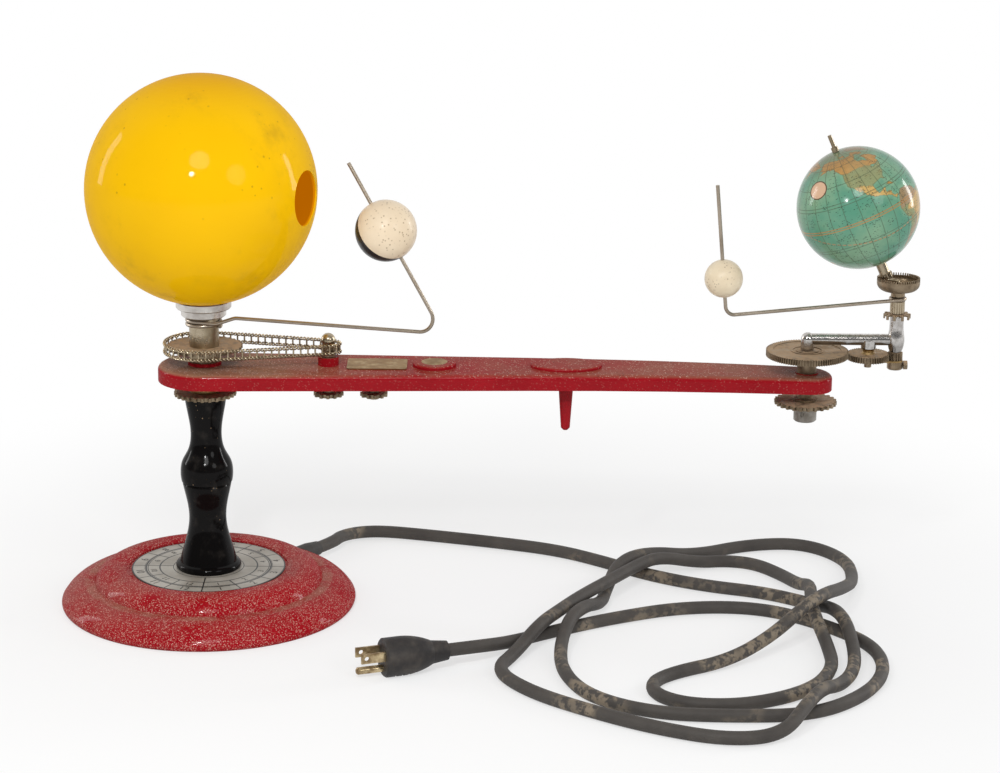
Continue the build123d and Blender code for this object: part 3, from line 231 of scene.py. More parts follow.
CORD_DIAMETER = 0.0086
GLAND_TIP = (67.72, 86.68, 8.0)
CORD_ROUTE = [
    (78.07, 99.92, 8.0), (82.5, 117.5, 6.6), (95.0, 130.5, 5.2), (112.0, 135.5, 4.3),
    (142.0, 128.0, 4.3), (192.0, 113.0, 4.3), (236.0, 97.0, 4.3), (268.0, 73.0, 4.3),
    (298.0, 46.0, 4.3), (335.0, 25.0, 4.3), (376.0, 12.0, 4.3), (406.0, -10.0, 4.3),
    (417.0, -44.0, 14.0), (422.0, -72.0, 14.2), (424.0, -106.0, 5.0), (419.0, -136.0, 4.3),
    (408.0, -160.0, 5.2), (395.0, -186.0, 14.2), (383.0, -211.0, 14.2), (366.0, -240.0, 5.0),
    (332.0, -246.0, 4.3), (291.0, -229.0, 4.3), (252.0, -203.0, 4.3), (214.0, -171.0, 4.3),
    (193.0, -135.0, 4.3), (206.0, -106.0, 4.6), (222.0, -78.0, 14.2), (236.0, -52.0, 14.6),
    (250.0, -24.0, 14.0), (272.0, 9.0, 14.4), (290.0, 38.0, 14.2), (306.0, 56.0, 14.2),
    (334.0, 71.0, 5.0), (354.0, 77.0, 4.3), (374.0, 71.0, 4.3), (390.0, 49.0, 4.3), (400.0, 24.0, 6.0),
    (405.0, 0.0, 14.8), (403.0, -26.0, 14.6), (402.0, -56.0, 14.4), (408.0, -90.0, 5.0),
    (408.0, -128.0, 4.3), (390.0, -166.0, 4.3), (352.0, -190.0, 4.3), (316.0, -192.0, 4.3),
    (294.0, -178.0, 4.3), (290.0, -156.0, 4.3), (306.0, -137.0, 4.3), (341.0, -118.0, 4.8),
    (370.0, -96.0, 13.0), (395.0, -67.0, 24.0), (410.0, -44.0, 24.4), (426.0, -8.0, 15.0),
    (439.0, 36.0, 4.6), (439.0, 82.0, 4.3), (412.0, 116.0, 4.3), (372.0, 112.0, 4.3),
    (332.0, 87.0, 4.6), (298.0, 66.0, 14.2), (277.0, 44.0, 14.2), (268.0, 14.0, 4.4),
    (264.0, -12.0, 4.3), (252.0, -44.0, 14.4), (241.0, -68.0, 14.2), (234.5, -99.0, 5.0),
    (236.0, -140.0, 4.3), (252.0, -180.0, 4.3), (290.0, -205.0, 4.3), (336.0, -209.0, 4.3),
    (388.0, -206.0, 4.3), (424.0, -172.0, 4.3), (441.0, -130.0, 4.3), (438.0, -86.0, 4.3),
    (410.0, -49.0, 4.3), (372.0, -18.0, 4.3), (320.0, -17.0, 4.3), (270.0, -40.0, 4.3),
    (230.0, -66.0, 4.3), (203.0, -91.0, 6.2), (182.0, -113.0, 11.5),
]
PLUG_NECK = (162.6, -120.0, 11.5)

cord_points = np.array([GLAND_TIP, *CORD_ROUTE, PLUG_NECK]) / 1000
lead_curve = bpy.data.curves.new("power_lead", "CURVE")
lead_curve.dimensions = "3D"
lead_curve.bevel_depth = CORD_DIAMETER / 2
lead_curve.bevel_resolution = 5
lead_curve.resolution_u = 10
lead_curve.use_fill_caps = True
spline = lead_curve.splines.new("NURBS")
spline.points.add(len(cord_points) - 1)
spline.points.foreach_set("co", np.c_[cord_points, np.ones(len(cord_points))].ravel())
spline.order_u = 3
spline.use_endpoint_u = True
lead = bpy.data.objects.new("power_lead", lead_curve)
bpy.context.scene.collection.objects.link(lead)

rubber = Paint("cord_rubber", roughness=0.62)
grime = rubber.noise(60.0, 4.0)
scuffs = rubber.noise(22.0, 2.0).step(0.50, 0.64) * rubber.noise(210.0, 2.0).step(0.42, 0.58)
sheath = rubber.blend(grime, (0.036, 0.032, 0.030), (0.090, 0.080, 0.070))
rubber.colour(rubber.blend(scuffs * 0.75, sheath, (0.26, 0.21, 0.15)))
rubber.bump(rubber.noise(900.0, 2.0), 0.00012)
lead_curve.materials.append(rubber.material)
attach(lead, "stand")
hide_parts("power_cord")
gland_rubber = Paint("gland_rubber", roughness=0.6)
gland_dirt = gland_rubber.noise(120.0)
gland_rubber.colour(gland_rubber.blend(gland_dirt, (0.02, 0.02, 0.02), (0.06, 0.055, 0.05)))
gland_rubber.bump(gland_rubber.noise(700.0), 0.0002)
dress(gland_rubber, "cord_gland")

plug_rubber = Paint("plug_rubber", roughness=0.55)
plug_dust = plug_rubber.noise(45.0, 4.0).step(0.45, 0.75) * 0.5
plug_rubber.colour(plug_rubber.blend(plug_dust, (0.022, 0.020, 0.020), (0.13, 0.11, 0.09)))
plug_rubber.bump(plug_rubber.noise(600.0), 0.0002)
dress(plug_rubber, "plug_body")

old_brass = Paint("blade_brass", roughness=0.34, metallic=1.0)
blade_stain = old_brass.noise(150.0, 3.0).step(0.35, 0.7)
old_brass.colour(old_brass.blend(blade_stain, (0.62, 0.50, 0.30), (0.25, 0.17, 0.09)))
old_brass.feed("Roughness", blade_stain * 0.35 + 0.25)
dress(old_brass, "plug_blades")


# Base. Cast iron under red enamel. Tan dust lies in the valley and, thinly, on what is flat, and
# what faces left and back is tinted tan; pale pink specks of two sizes are scattered all over.

LEFT_AND_BACK = (-0.75, 0.55, 0.2)
VALLEY_RIM = (0.0167, 0.0162)
VALLEY_FLOOR = (0.0157, 0.0161)
enamel = Paint("base_enamel", roughness=0.28, coat=0.14, coat_roughness=0.06, sheen=0.0)
height = enamel.axis(2)
lies_flat = enamel.facing(UP).step(0.62, 1.0)
left_and_back = enamel.facing(LEFT_AND_BACK).step(-0.25, 0.75)
valley = height.step(*VALLEY_RIM) * height.step(*VALLEY_FLOOR)
fine = enamel.noise(420.0, 4.0)
coarse = enamel.noise(60.0, 4.0)
# What faces left and back is tinted tan; this mask holds that tint together with the thin dust on what is
# flat.
flat_dust_and_side_tint = lies_flat * coarse.step(0.30, 0.70) * 0.12 + left_and_back * coarse.step(0.25, 0.6) * 0.42
settled = valley * coarse.step(0.30, 0.65) * 0.45
flecks = enamel.specks(800.0, 0.42) * fine.step(0.40, 0.48)
fine_flecks = enamel.specks(1150.0, 0.42) * coarse.step(0.36, 0.46)
red = enamel.blend(enamel.noise(25.0, 3.0), (0.25, 0.004, 0.008), (0.35, 0.006, 0.013))
dusty_tinted_red = enamel.blend(flat_dust_and_side_tint, red, (0.25, 0.12, 0.095))
dusty_tinted_red = enamel.blend(settled, dusty_tinted_red, (0.30, 0.17, 0.11))
speckled = enamel.blend(flecks * 0.75, dusty_tinted_red, (0.66, 0.33, 0.27))
enamel.colour(enamel.blend(fine_flecks * 0.5, speckled, (0.56, 0.22, 0.19)))
enamel.feed("Roughness", flat_dust_and_side_tint * 0.6 + flecks * 0.15 + 0.20)
enamel.bump(enamel.noise(170.0, 3.0) + flecks * 0.5, 0.00035)
dress(enamel, "base_casting")

board = Paint("cover_board", roughness=0.8)
board.colour(board.blend(board.noise(200.0), (0.03, 0.028, 0.025), (0.07, 0.06, 0.05)))
board.bump(board.noise(900.0), 0.0002)
dress(board, "base_cover")

# Dial. A tarnished grey sheet with a black print round the column: two circles of numbered fields,
# a fine scale between them, and four plain fields inside.

DIAL_RINGS = (0.0510, 0.0418, 0.0327)
DIAL_INNER_RING = 0.0236
DIAL_SCALE = 0.0012
DIAL_LINE = 0.00042
DIAL_FIELDS = 12
DIAL_QUARTERS = 4
DIAL_DEGREES = 360
dial_paint = Paint("dial_print", roughness=0.42, metallic=0.15)
dial_x, dial_y = dial_paint.axis(0), dial_paint.axis(1)
from_centre = (dial_x * dial_x + dial_y * dial_y).maths("SQRT")
turn = dial_y.maths("ARCTAN2", dial_x) / (2 * math.pi) + 0.5


def ring_line(radius, half_width):
    """A circle about the column."""
    return (from_centre - radius).maths("ABSOLUTE").step(half_width * 1.5, half_width * 0.7)


def ticks(count, inner, outer, half_width):
    """Radial strokes at equal turns between two radii."""
    off = ((turn * count).maths("FRACT") - 0.5).maths("ABSOLUTE")
    gap = (0.5 - off) / count * (2 * math.pi) * from_centre
    return gap.step(half_width * 1.5, half_width * 0.6) * (from_centre > inner) * (from_centre < outer)


ink = ring_line(DIAL_RINGS[1], DIAL_LINE)
for mark in (
    ring_line(DIAL_RINGS[0], DIAL_LINE),
    ring_line(DIAL_RINGS[2], DIAL_LINE),
    ring_line(DIAL_RINGS[1] - DIAL_SCALE, DIAL_LINE * 0.6),
    ring_line(DIAL_INNER_RING, DIAL_LINE * 0.6),
    ticks(DIAL_FIELDS, DIAL_RINGS[1], DIAL_RINGS[0], DIAL_LINE),
    ticks(DIAL_FIELDS, DIAL_RINGS[2], DIAL_RINGS[1], DIAL_LINE),
    ticks(DIAL_QUARTERS, DIAL_INNER_RING, DIAL_RINGS[2], DIAL_LINE),
    ticks(DIAL_DEGREES, DIAL_RINGS[1], DIAL_RINGS[1] + DIAL_SCALE, DIAL_LINE * 0.5),
):
    ink = ink.maths("MAXIMUM", mark)
tarnish = dial_paint.noise(45.0, 4.0)
sheet_colour = dial_paint.blend(tarnish.step(0.3, 0.7), (0.27, 0.245, 0.205), (0.40, 0.375, 0.33))
sheet_colour = dial_paint.blend(dial_paint.specks(300.0, 0.14) * 0.5, sheet_colour, (0.22, 0.17, 0.12))
dial_paint.colour(dial_paint.blend(ink, sheet_colour, (0.015, 0.015, 0.015)))
dress(dial_paint, "dial_plate")

NUMBER_SIZE = 0.0074
NUMBER_CIRCLES = ((0.0464, 1.0), (0.0372, 0.8))
NUMBER_THICKNESS = 0.00003
NUMBER_LIFT = 0.00004
number_ink = Paint("number_ink", roughness=0.5)
number_ink.colour(number_ink.blend(number_ink.noise(800.0), (0.015, 0.015, 0.015), (0.05, 0.045, 0.04)))
dial_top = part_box("dial_plate")[1][2]
for circle, (radius, share) in enumerate(NUMBER_CIRCLES, 1):
    for k in range(DIAL_FIELDS):
        text = bpy.data.curves.new("number", "FONT")
        text.body = str(k + 1)
        text.size = NUMBER_SIZE * share
        text.align_x = "CENTER"
        text.align_y = "CENTER"
        text.extrude = NUMBER_THICKNESS
        shape = bpy.data.objects.new("number", text)
        mesh = bpy.data.meshes.new_from_object(shape)
        points = np.empty(len(mesh.vertices) * 3)
        mesh.vertices.foreach_get("co", points)
        slant = 2 * math.pi * (k + 0.5) / DIAL_FIELDS
        east, north = math.cos(slant), math.sin(slant)
        spin = np.array([[east, north, 0], [-north, east, 0], [0, 0, 1]])
        middle = (radius * north, -radius * east, dial_top + NUMBER_LIFT)
        mesh.vertices.foreach_set("co", (points.reshape(-1, 3) @ spin + middle).ravel())
        number = bpy.data.objects.new(f"dial_number_{circle}_{k + 1}", mesh)
        bpy.context.scene.collection.objects.link(number)
        bpy.data.objects.remove(shape)
        dress(number_ink, number)
        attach(number, "stand")

# Column. Turned wood in glossy black paint, with a little dust and a few pin chips.

black = Paint("column_black", roughness=0.20, coat=0.14, coat_roughness=0.06, sheen=0.02)
black_dust = black.noise(90.0, 4.0).step(0.5, 0.8)
chipped = black.specks(210.0, 0.12) * black.noise(40.0).step(0.50, 0.60)
worn_black = black.blend(black_dust * 0.3, (0.004, 0.0035, 0.0035), (0.065, 0.056, 0.048))
black.colour(black.blend(chipped * 0.8, worn_black, (0.25, 0.17, 0.10)))
black.feed("Roughness", black_dust * 0.3 + 0.17)
black.bump(black.noise(60.0, 2.0), 0.00022)
dress(black, "column")


# Bare metal. One way of making every plated or plain metal: a base tone, a second tone in
# blotches, painted shade that darkens what faces down, dust on what faces up, and a fine grain.

def metal(name, tone, stain, dust_tone, dusty, rough, blotch=90.0, grain=0.00008, painted_shade=0.35):
    paint = Paint(name, roughness=rough, metallic=1.0)
    blotches = paint.noise(blotch, 4.0).step(0.35, 0.70)
    upward = paint.facing(UP)
    powder = upward.step(0.3, 0.9) * paint.noise(blotch * 2.5, 4.0).step(0.25, 0.60) * dusty
    base = paint.blend(blotches, tone, stain)
    # Painted shade: what faces down is darkened towards a quarter of the stain tone, by the given share.
    base = paint.blend(upward.step(0.5, -0.5) * painted_shade, base, tuple(0.25 * part for part in stain))
    paint.colour(paint.blend(powder, base, dust_tone))
    paint.feed("Roughness", blotches * 0.14 + powder * 0.4 + rough)
    paint.feed("Metallic", 1.0 - powder * 0.8)
    paint.bump(paint.noise(blotch * 8.0, 3.0), grain)
    return paint


TAN_DUST = (0.27, 0.195, 0.125)
nickel = metal("nickel_plate", (0.52, 0.44, 0.32), (0.32, 0.255, 0.165), TAN_DUST, 0.35, 0.24)
dress(nickel, "venus_sleeve", "cap_nut", "fluted_sleeve", "earth_axle", "earth_pinion", "pole_collar")
dusty_steel = metal(
    "dusty_steel", (0.36, 0.28, 0.19), (0.19, 0.14, 0.09), (0.42, 0.29, 0.18), 0.95, 0.42, blotch=120.0
)
dress(
    dusty_steel, "fixed_sprocket", "venus_lower_sprocket", "tensioner_sprocket", "earth_end_sprocket",
    "venus_sleeve_sprocket", "venus_upper_sprocket", "earth_fixed_gear", "idler_gear", "star_washer",
    "sprocket_washer", "tensioner_stud", "idler_stud", "rod_collar", "rod_set_screw", "cup_gear",
    "moon_pinion"
)
steel = metal("plain_steel", (0.36, 0.34, 0.31), (0.20, 0.175, 0.145), TAN_DUST, 0.4, 0.32)
dress(
    steel, "stem_tube", "stem_nut", "stem_washer", "handle_screw", "venus_shaft", "crank_shaft",
    "sprocket_hub", "hub_set_screw", "moon_spindle"
)
wire_metal = metal(
    "rod_steel", (0.48, 0.41, 0.33), (0.36, 0.30, 0.23), TAN_DUST, 0.1, 0.30, blotch=45.0, grain=0.00001
)
dress(wire_metal, "venus_wire", "moon_wire")
brass = metal("tarnished_brass", (0.45, 0.31, 0.13), (0.24, 0.155, 0.07), (0.28, 0.18, 0.10), 0.75, 0.34)
dress(brass, "hub_bush", "thrust_washer", "arm_plate", "pad_inlay", "idler_bush", "idler_strap")
satin = metal("spun_aluminium", (0.74, 0.71, 0.67), (0.55, 0.51, 0.47), TAN_DUST, 0.1, 0.30)
dress(satin, "sun_collar")
# The crank gets strong painted shade on what faces down, standing in for the dark reflections along chrome.
chrome = metal(
    "crank_chrome", (0.72, 0.70, 0.68), (0.52, 0.49, 0.46), (0.34, 0.29, 0.24), 0.3, 0.10,
    blotch=420.0, grain=0.00002, painted_shade=0.75
)
dress(chrome, "crank")

# Upper ladder chain. Nickelled brass wire: each link is a rung whose ends curl round the next one,
# so that the sides look like twisted cord. It runs round the sleeve's and the drive shaft's sprockets:
# an arc, a straight run, an arc and a straight run back.

CHAIN_PITCH = 0.0048
CHAIN_LINKS = 57
CHAIN_TEETH = (34, 10)
CHAIN_STEPS = 12
STRAND_RADIUS = 0.00052
STRAND_THROW = 0.00080
RUNG_RADIUS = 0.00058
RUNG_BOW = 0.0002
WIRE_SIDES = 8
chain_low, chain_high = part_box("venus_chain")
chain_middle = (chain_low[2] + chain_high[2]) / 2
rail_lift = (chain_high[2] - chain_low[2]) / 2 - STRAND_RADIUS
shaft_low, shaft_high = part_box("venus_shaft")
shaft_x = (shaft_low[0] + shaft_high[0]) / 2
wheel_big, wheel_small = (CHAIN_PITCH / 2 / math.sin(math.pi / teeth) for teeth in CHAIN_TEETH)
lean = math.acos((wheel_big - wheel_small) / shaft_x)
wrap_big, wrap_small = 2 * wheel_big * (math.pi - lean), 2 * wheel_small * lean
run = shaft_x * math.sin(lean)
chain_length = wrap_big + run + wrap_small + run


def chain_line(station):
    """Points on the chain's middle line at these distances along it, and the way outward at each."""
    past = station - wrap_big
    back = past - run - wrap_small
    parts = [station < wrap_big, past < run, back < 0]
    zero = np.zeros(station.shape)
    way = np.select(
        parts, [2 * math.pi - lean - station / wheel_big, zero + lean, lean - (past - run) / wheel_small],
        zero - lean
    )
    centre = np.select(parts[:2], [zero, zero], shaft_x)
    radius = np.select(parts[:2], [zero + wheel_big, zero + wheel_big], wheel_small)
    ahead = np.select(parts, [zero, past, zero], -back) * math.sin(lean)
    aside = np.select(parts, [zero, past, zero], back) * math.cos(lean)
    outward = np.stack([np.cos(way), np.sin(way), zero], axis=-1)
    return np.stack([centre + ahead, -aside, zero], axis=-1) + radius[:, None] * outward, outward


def wires(name, paths, radius, closed, reference):
    """Round wires along paths, an array of (wires, stations, 3), as one mesh."""
    ahead = np.roll(paths, -1, axis=1) - np.roll(paths, 1, axis=1)
    if not closed:
        ahead[:, 0] = paths[:, 1] - paths[:, 0]
        ahead[:, -1] = paths[:, -1] - paths[:, -2]
    ahead = ahead / np.linalg.norm(ahead, axis=2, keepdims=True)
    across = np.cross(ahead, reference)
    across = across / np.linalg.norm(across, axis=2, keepdims=True)
    over = np.cross(across, ahead)
    angle = np.arange(WIRE_SIDES) * 2 * math.pi / WIRE_SIDES
    ring = across[:, :, None] * np.cos(angle)[:, None] + over[:, :, None] * np.sin(angle)[:, None]
    points = paths[:, :, None] + radius * ring
    count, stations = paths.shape[:2]
    spans = stations if closed else stations - 1
    w, s, a = np.meshgrid(np.arange(count), np.arange(spans), np.arange(WIRE_SIDES), indexing="ij")
    w, s, a = w.ravel(), s.ravel(), a.ravel()
    s_next, a_next = (s + 1) % stations, (a + 1) % WIRE_SIDES
    start, end = (w * stations + s) * WIRE_SIDES, (w * stations + s_next) * WIRE_SIDES
    faces = np.stack([start + a, start + a_next, end + a_next, end + a], axis=1).tolist()
    if not closed:
        for wire in range(count):
            first = wire * stations * WIRE_SIDES
            last = first + (stations - 1) * WIRE_SIDES
            faces.append([first + side for side in reversed(range(WIRE_SIDES))])
            faces.append([last + side for side in range(WIRE_SIDES)])
    return new_piece(name, points, faces)


station = np.arange(CHAIN_LINKS * CHAIN_STEPS) * chain_length / (CHAIN_LINKS * CHAIN_STEPS)
line, outward = chain_line(station)
twist = 2 * math.pi * station / (chain_length / CHAIN_LINKS)
rails = []
for level in (-rail_lift, rail_lift):
    for phase in (0.0, math.pi):
        swing = np.cos(twist + phase)[:, None] * outward * STRAND_THROW
        rise = level + np.sin(twist + phase) * STRAND_THROW
        rails.append(line + swing + np.array(UP) * (chain_middle + rise)[:, None])
rung_line, rung_out = chain_line((np.arange(CHAIN_LINKS) + 0.5) * chain_length / CHAIN_LINKS)
climb = np.linspace(-1.0, 1.0, 5)
rungs = rung_line[:, None] + np.array(UP) * (chain_middle + climb * rail_lift)[None, :, None]
rungs = rungs + rung_out[:, None] * (climb * climb * RUNG_BOW)[None, :, None]
chain_metal = metal("chain_metal", (0.62, 0.52, 0.37), (0.32, 0.25, 0.16), TAN_DUST, 0.3, 0.24, blotch=250.0)
for chain_piece in (
    wires("chain_sides", np.array(rails), STRAND_RADIUS, True, UP),
    wires("chain_rungs", rungs, RUNG_RADIUS, False, (1.0, 0.0, 0.0)),
):
    dress(chain_metal, chain_piece)
    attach(chain_piece, "arm")
    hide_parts("venus_chain")

# Arm. Aluminium casting under the same red enamel: dull and dusty on its top, most of all near the
# column and towards the Earth, and speckled with pale and dark dots.

COLUMN_END = (0.13, 0.02)
EARTH_END = (0.20, 0.38)
arm_enamel = Paint("arm_enamel", roughness=0.3, coat=0.16, coat_roughness=0.10, sheen=0.0)
arm_up = arm_enamel.facing(UP).step(0.35, 0.92)
near_column = arm_enamel.axis(0).step(*COLUMN_END)
near_earth = arm_enamel.axis(0).step(*EARTH_END)
arm_patches = arm_enamel.noise(38.0, 4.0).step(0.28, 0.70)
arm_film = arm_up * (arm_patches * 0.25 + near_column * 0.60 + near_earth * 0.35 + 0.08)
arm_grain = arm_enamel.noise(330.0, 4.0)
arm_red = arm_enamel.blend(arm_enamel.noise(30.0), (0.23, 0.005, 0.009), (0.33, 0.008, 0.014))
arm_tone = arm_enamel.blend(arm_film, arm_red, (0.27, 0.16, 0.10))
pale_dots = arm_enamel.specks(640.0, 0.36) * arm_grain.step(0.44, 0.53) * (arm_up * 0.65 + 0.12)
arm_tone = arm_enamel.blend(pale_dots, arm_tone, (0.58, 0.36, 0.29))
dark_dots = arm_enamel.specks(430.0, 0.27) * arm_enamel.noise(70.0).step(0.45, 0.6) * arm_up
arm_enamel.colour(arm_enamel.blend(dark_dots * 0.7, arm_tone, (0.06, 0.02, 0.015)))
arm_enamel.feed("Roughness", arm_film * 0.45 + 0.24)
arm_enamel.bump(arm_enamel.noise(150.0, 3.0), 0.0003)
dress(arm_enamel, "arm_casting")

handle_enamel = Paint("handle_enamel", roughness=0.25, coat=0.20, coat_roughness=0.08, sheen=0.0)
handle_cloud = handle_enamel.noise(140.0)
handle_enamel.colour(handle_enamel.blend(handle_cloud, (0.24, 0.006, 0.010), (0.38, 0.010, 0.016)))
handle_enamel.bump(handle_enamel.noise(300.0), 0.00015)
dress(handle_enamel, "handle")

# Sun. A hollow ball of glossy yellow plastic with faint brown specks, open to one side; inside
# are a moulded socket and a frosted bulb. The inner skin of its wall is painted orange and given
# a painted glow, in place of light soaking through the wall.

sun_low, sun_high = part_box("sun_globe")
sun_middle = (np.array(sun_low) + np.array(sun_high)) / 2
SUN_RADIUS = float(sun_high[0] - sun_low[0]) / 2
SUN_SKIN = 0.0006
sun_paint = Paint("sun_yellow", roughness=0.20, coat=0.12, coat_roughness=0.03, sheen=0.0)
sun_cloud = sun_paint.noise(9.0, 3.0)
sun_tone = sun_paint.blend(sun_cloud, (0.76, 0.41, 0.0015), (0.86, 0.50, 0.004))
stains = sun_paint.noise(30.0, 5.0, roughness=0.7).step(0.50, 0.72) * sun_paint.noise(9.0).step(0.42, 0.62)
sun_tone = sun_paint.blend(stains * 0.42, sun_tone, (0.42, 0.23, 0.01))
sun_spot = sun_paint.specks(150.0, 0.15) * sun_paint.noise(18.0).step(0.50, 0.62)
sun_tone = sun_paint.blend(sun_spot * 0.5, sun_tone, (0.26, 0.12, 0.01))
from_sun = sun_paint.vector_maths("DISTANCE", sun_paint.place, tuple(sun_middle))
# Painted glow: the inner skin of the wall gets an orange colour and an orange emission, standing in for
# light that comes through the plastic.
painted_glow_skin = from_sun.step(SUN_RADIUS - SUN_SKIN, SUN_RADIUS - 2 * SUN_SKIN)
sun_paint.colour(sun_paint.blend(painted_glow_skin, sun_tone, (0.35, 0.12, 0.001)))
sun_paint.feed("Emission Color", sun_paint.blend(painted_glow_skin, (0.0, 0.0, 0.0), (0.30, 0.105, 0.0)))
sun_paint.shader.inputs["Emission Strength"].default_value = 1.0
sun_paint.bump(sun_paint.noise(40.0, 2.0), 0.00006)
dress(sun_paint, "sun_globe")

porcelain = Paint("socket_white", roughness=0.35)
porcelain.colour(porcelain.blend(porcelain.noise(80.0), (0.60, 0.57, 0.50), (0.75, 0.72, 0.66)))
dress(porcelain, "lamp_socket")
frosted = Paint("frosted_bulb", roughness=0.45)
frosted.colour(frosted.blend(frosted.noise(50.0), (0.80, 0.78, 0.72), (0.88, 0.87, 0.83)))
dress(frosted, "lamp_bulb")

# Venus and the Moon. Painted wooden balls: Venus cream with one black half, both with brown specks.

NIGHT_SIDE = (-0.47, 0.65, -0.60)
venus_middle = (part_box("venus_ball")[0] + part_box("venus_ball")[1]) / 2
venus_paint = Paint("venus_paint", roughness=0.3, coat=0.1, sheen=0.15)
from_ball = venus_paint.vector_maths("SUBTRACT", venus_paint.place, tuple(venus_middle))
night = venus_paint.vector_maths("DOT_PRODUCT", from_ball, NIGHT_SIDE)
speckle = venus_paint.specks(420.0, 0.30) * venus_paint.noise(60.0).step(0.42, 0.6)
cream = venus_paint.blend(venus_paint.noise(45.0, 4.0), (0.66, 0.52, 0.36), (0.80, 0.68, 0.51))
cream = venus_paint.blend(speckle * 0.6, cream, (0.25, 0.16, 0.09))
venus_paint.colour(venus_paint.blend(night.step(-0.0002, 0.0002), cream, (0.018, 0.017, 0.018)))
venus_paint.bump(venus_paint.noise(220.0), 0.0001)
dress(venus_paint, "venus_ball")

moon_paint = Paint("moon_paint", roughness=0.35, coat=0.08)
moon_speck = moon_paint.specks(500.0, 0.30) * moon_paint.noise(90.0).step(0.45, 0.6)
moon_cream = moon_paint.blend(moon_paint.noise(70.0, 4.0), (0.62, 0.50, 0.34), (0.82, 0.72, 0.54))
moon_paint.colour(moon_paint.blend(moon_speck * 0.6, moon_cream, (0.22, 0.15, 0.09)))
moon_paint.bump(moon_paint.noise(260.0), 0.0001)
dress(moon_paint, "moon_ball")

# Earth. A paper globe printed with land, sea, a grid and the Sun's path, under varnish that has
# browned round both poles and is rubbed in patches. Its title oval is left bare.

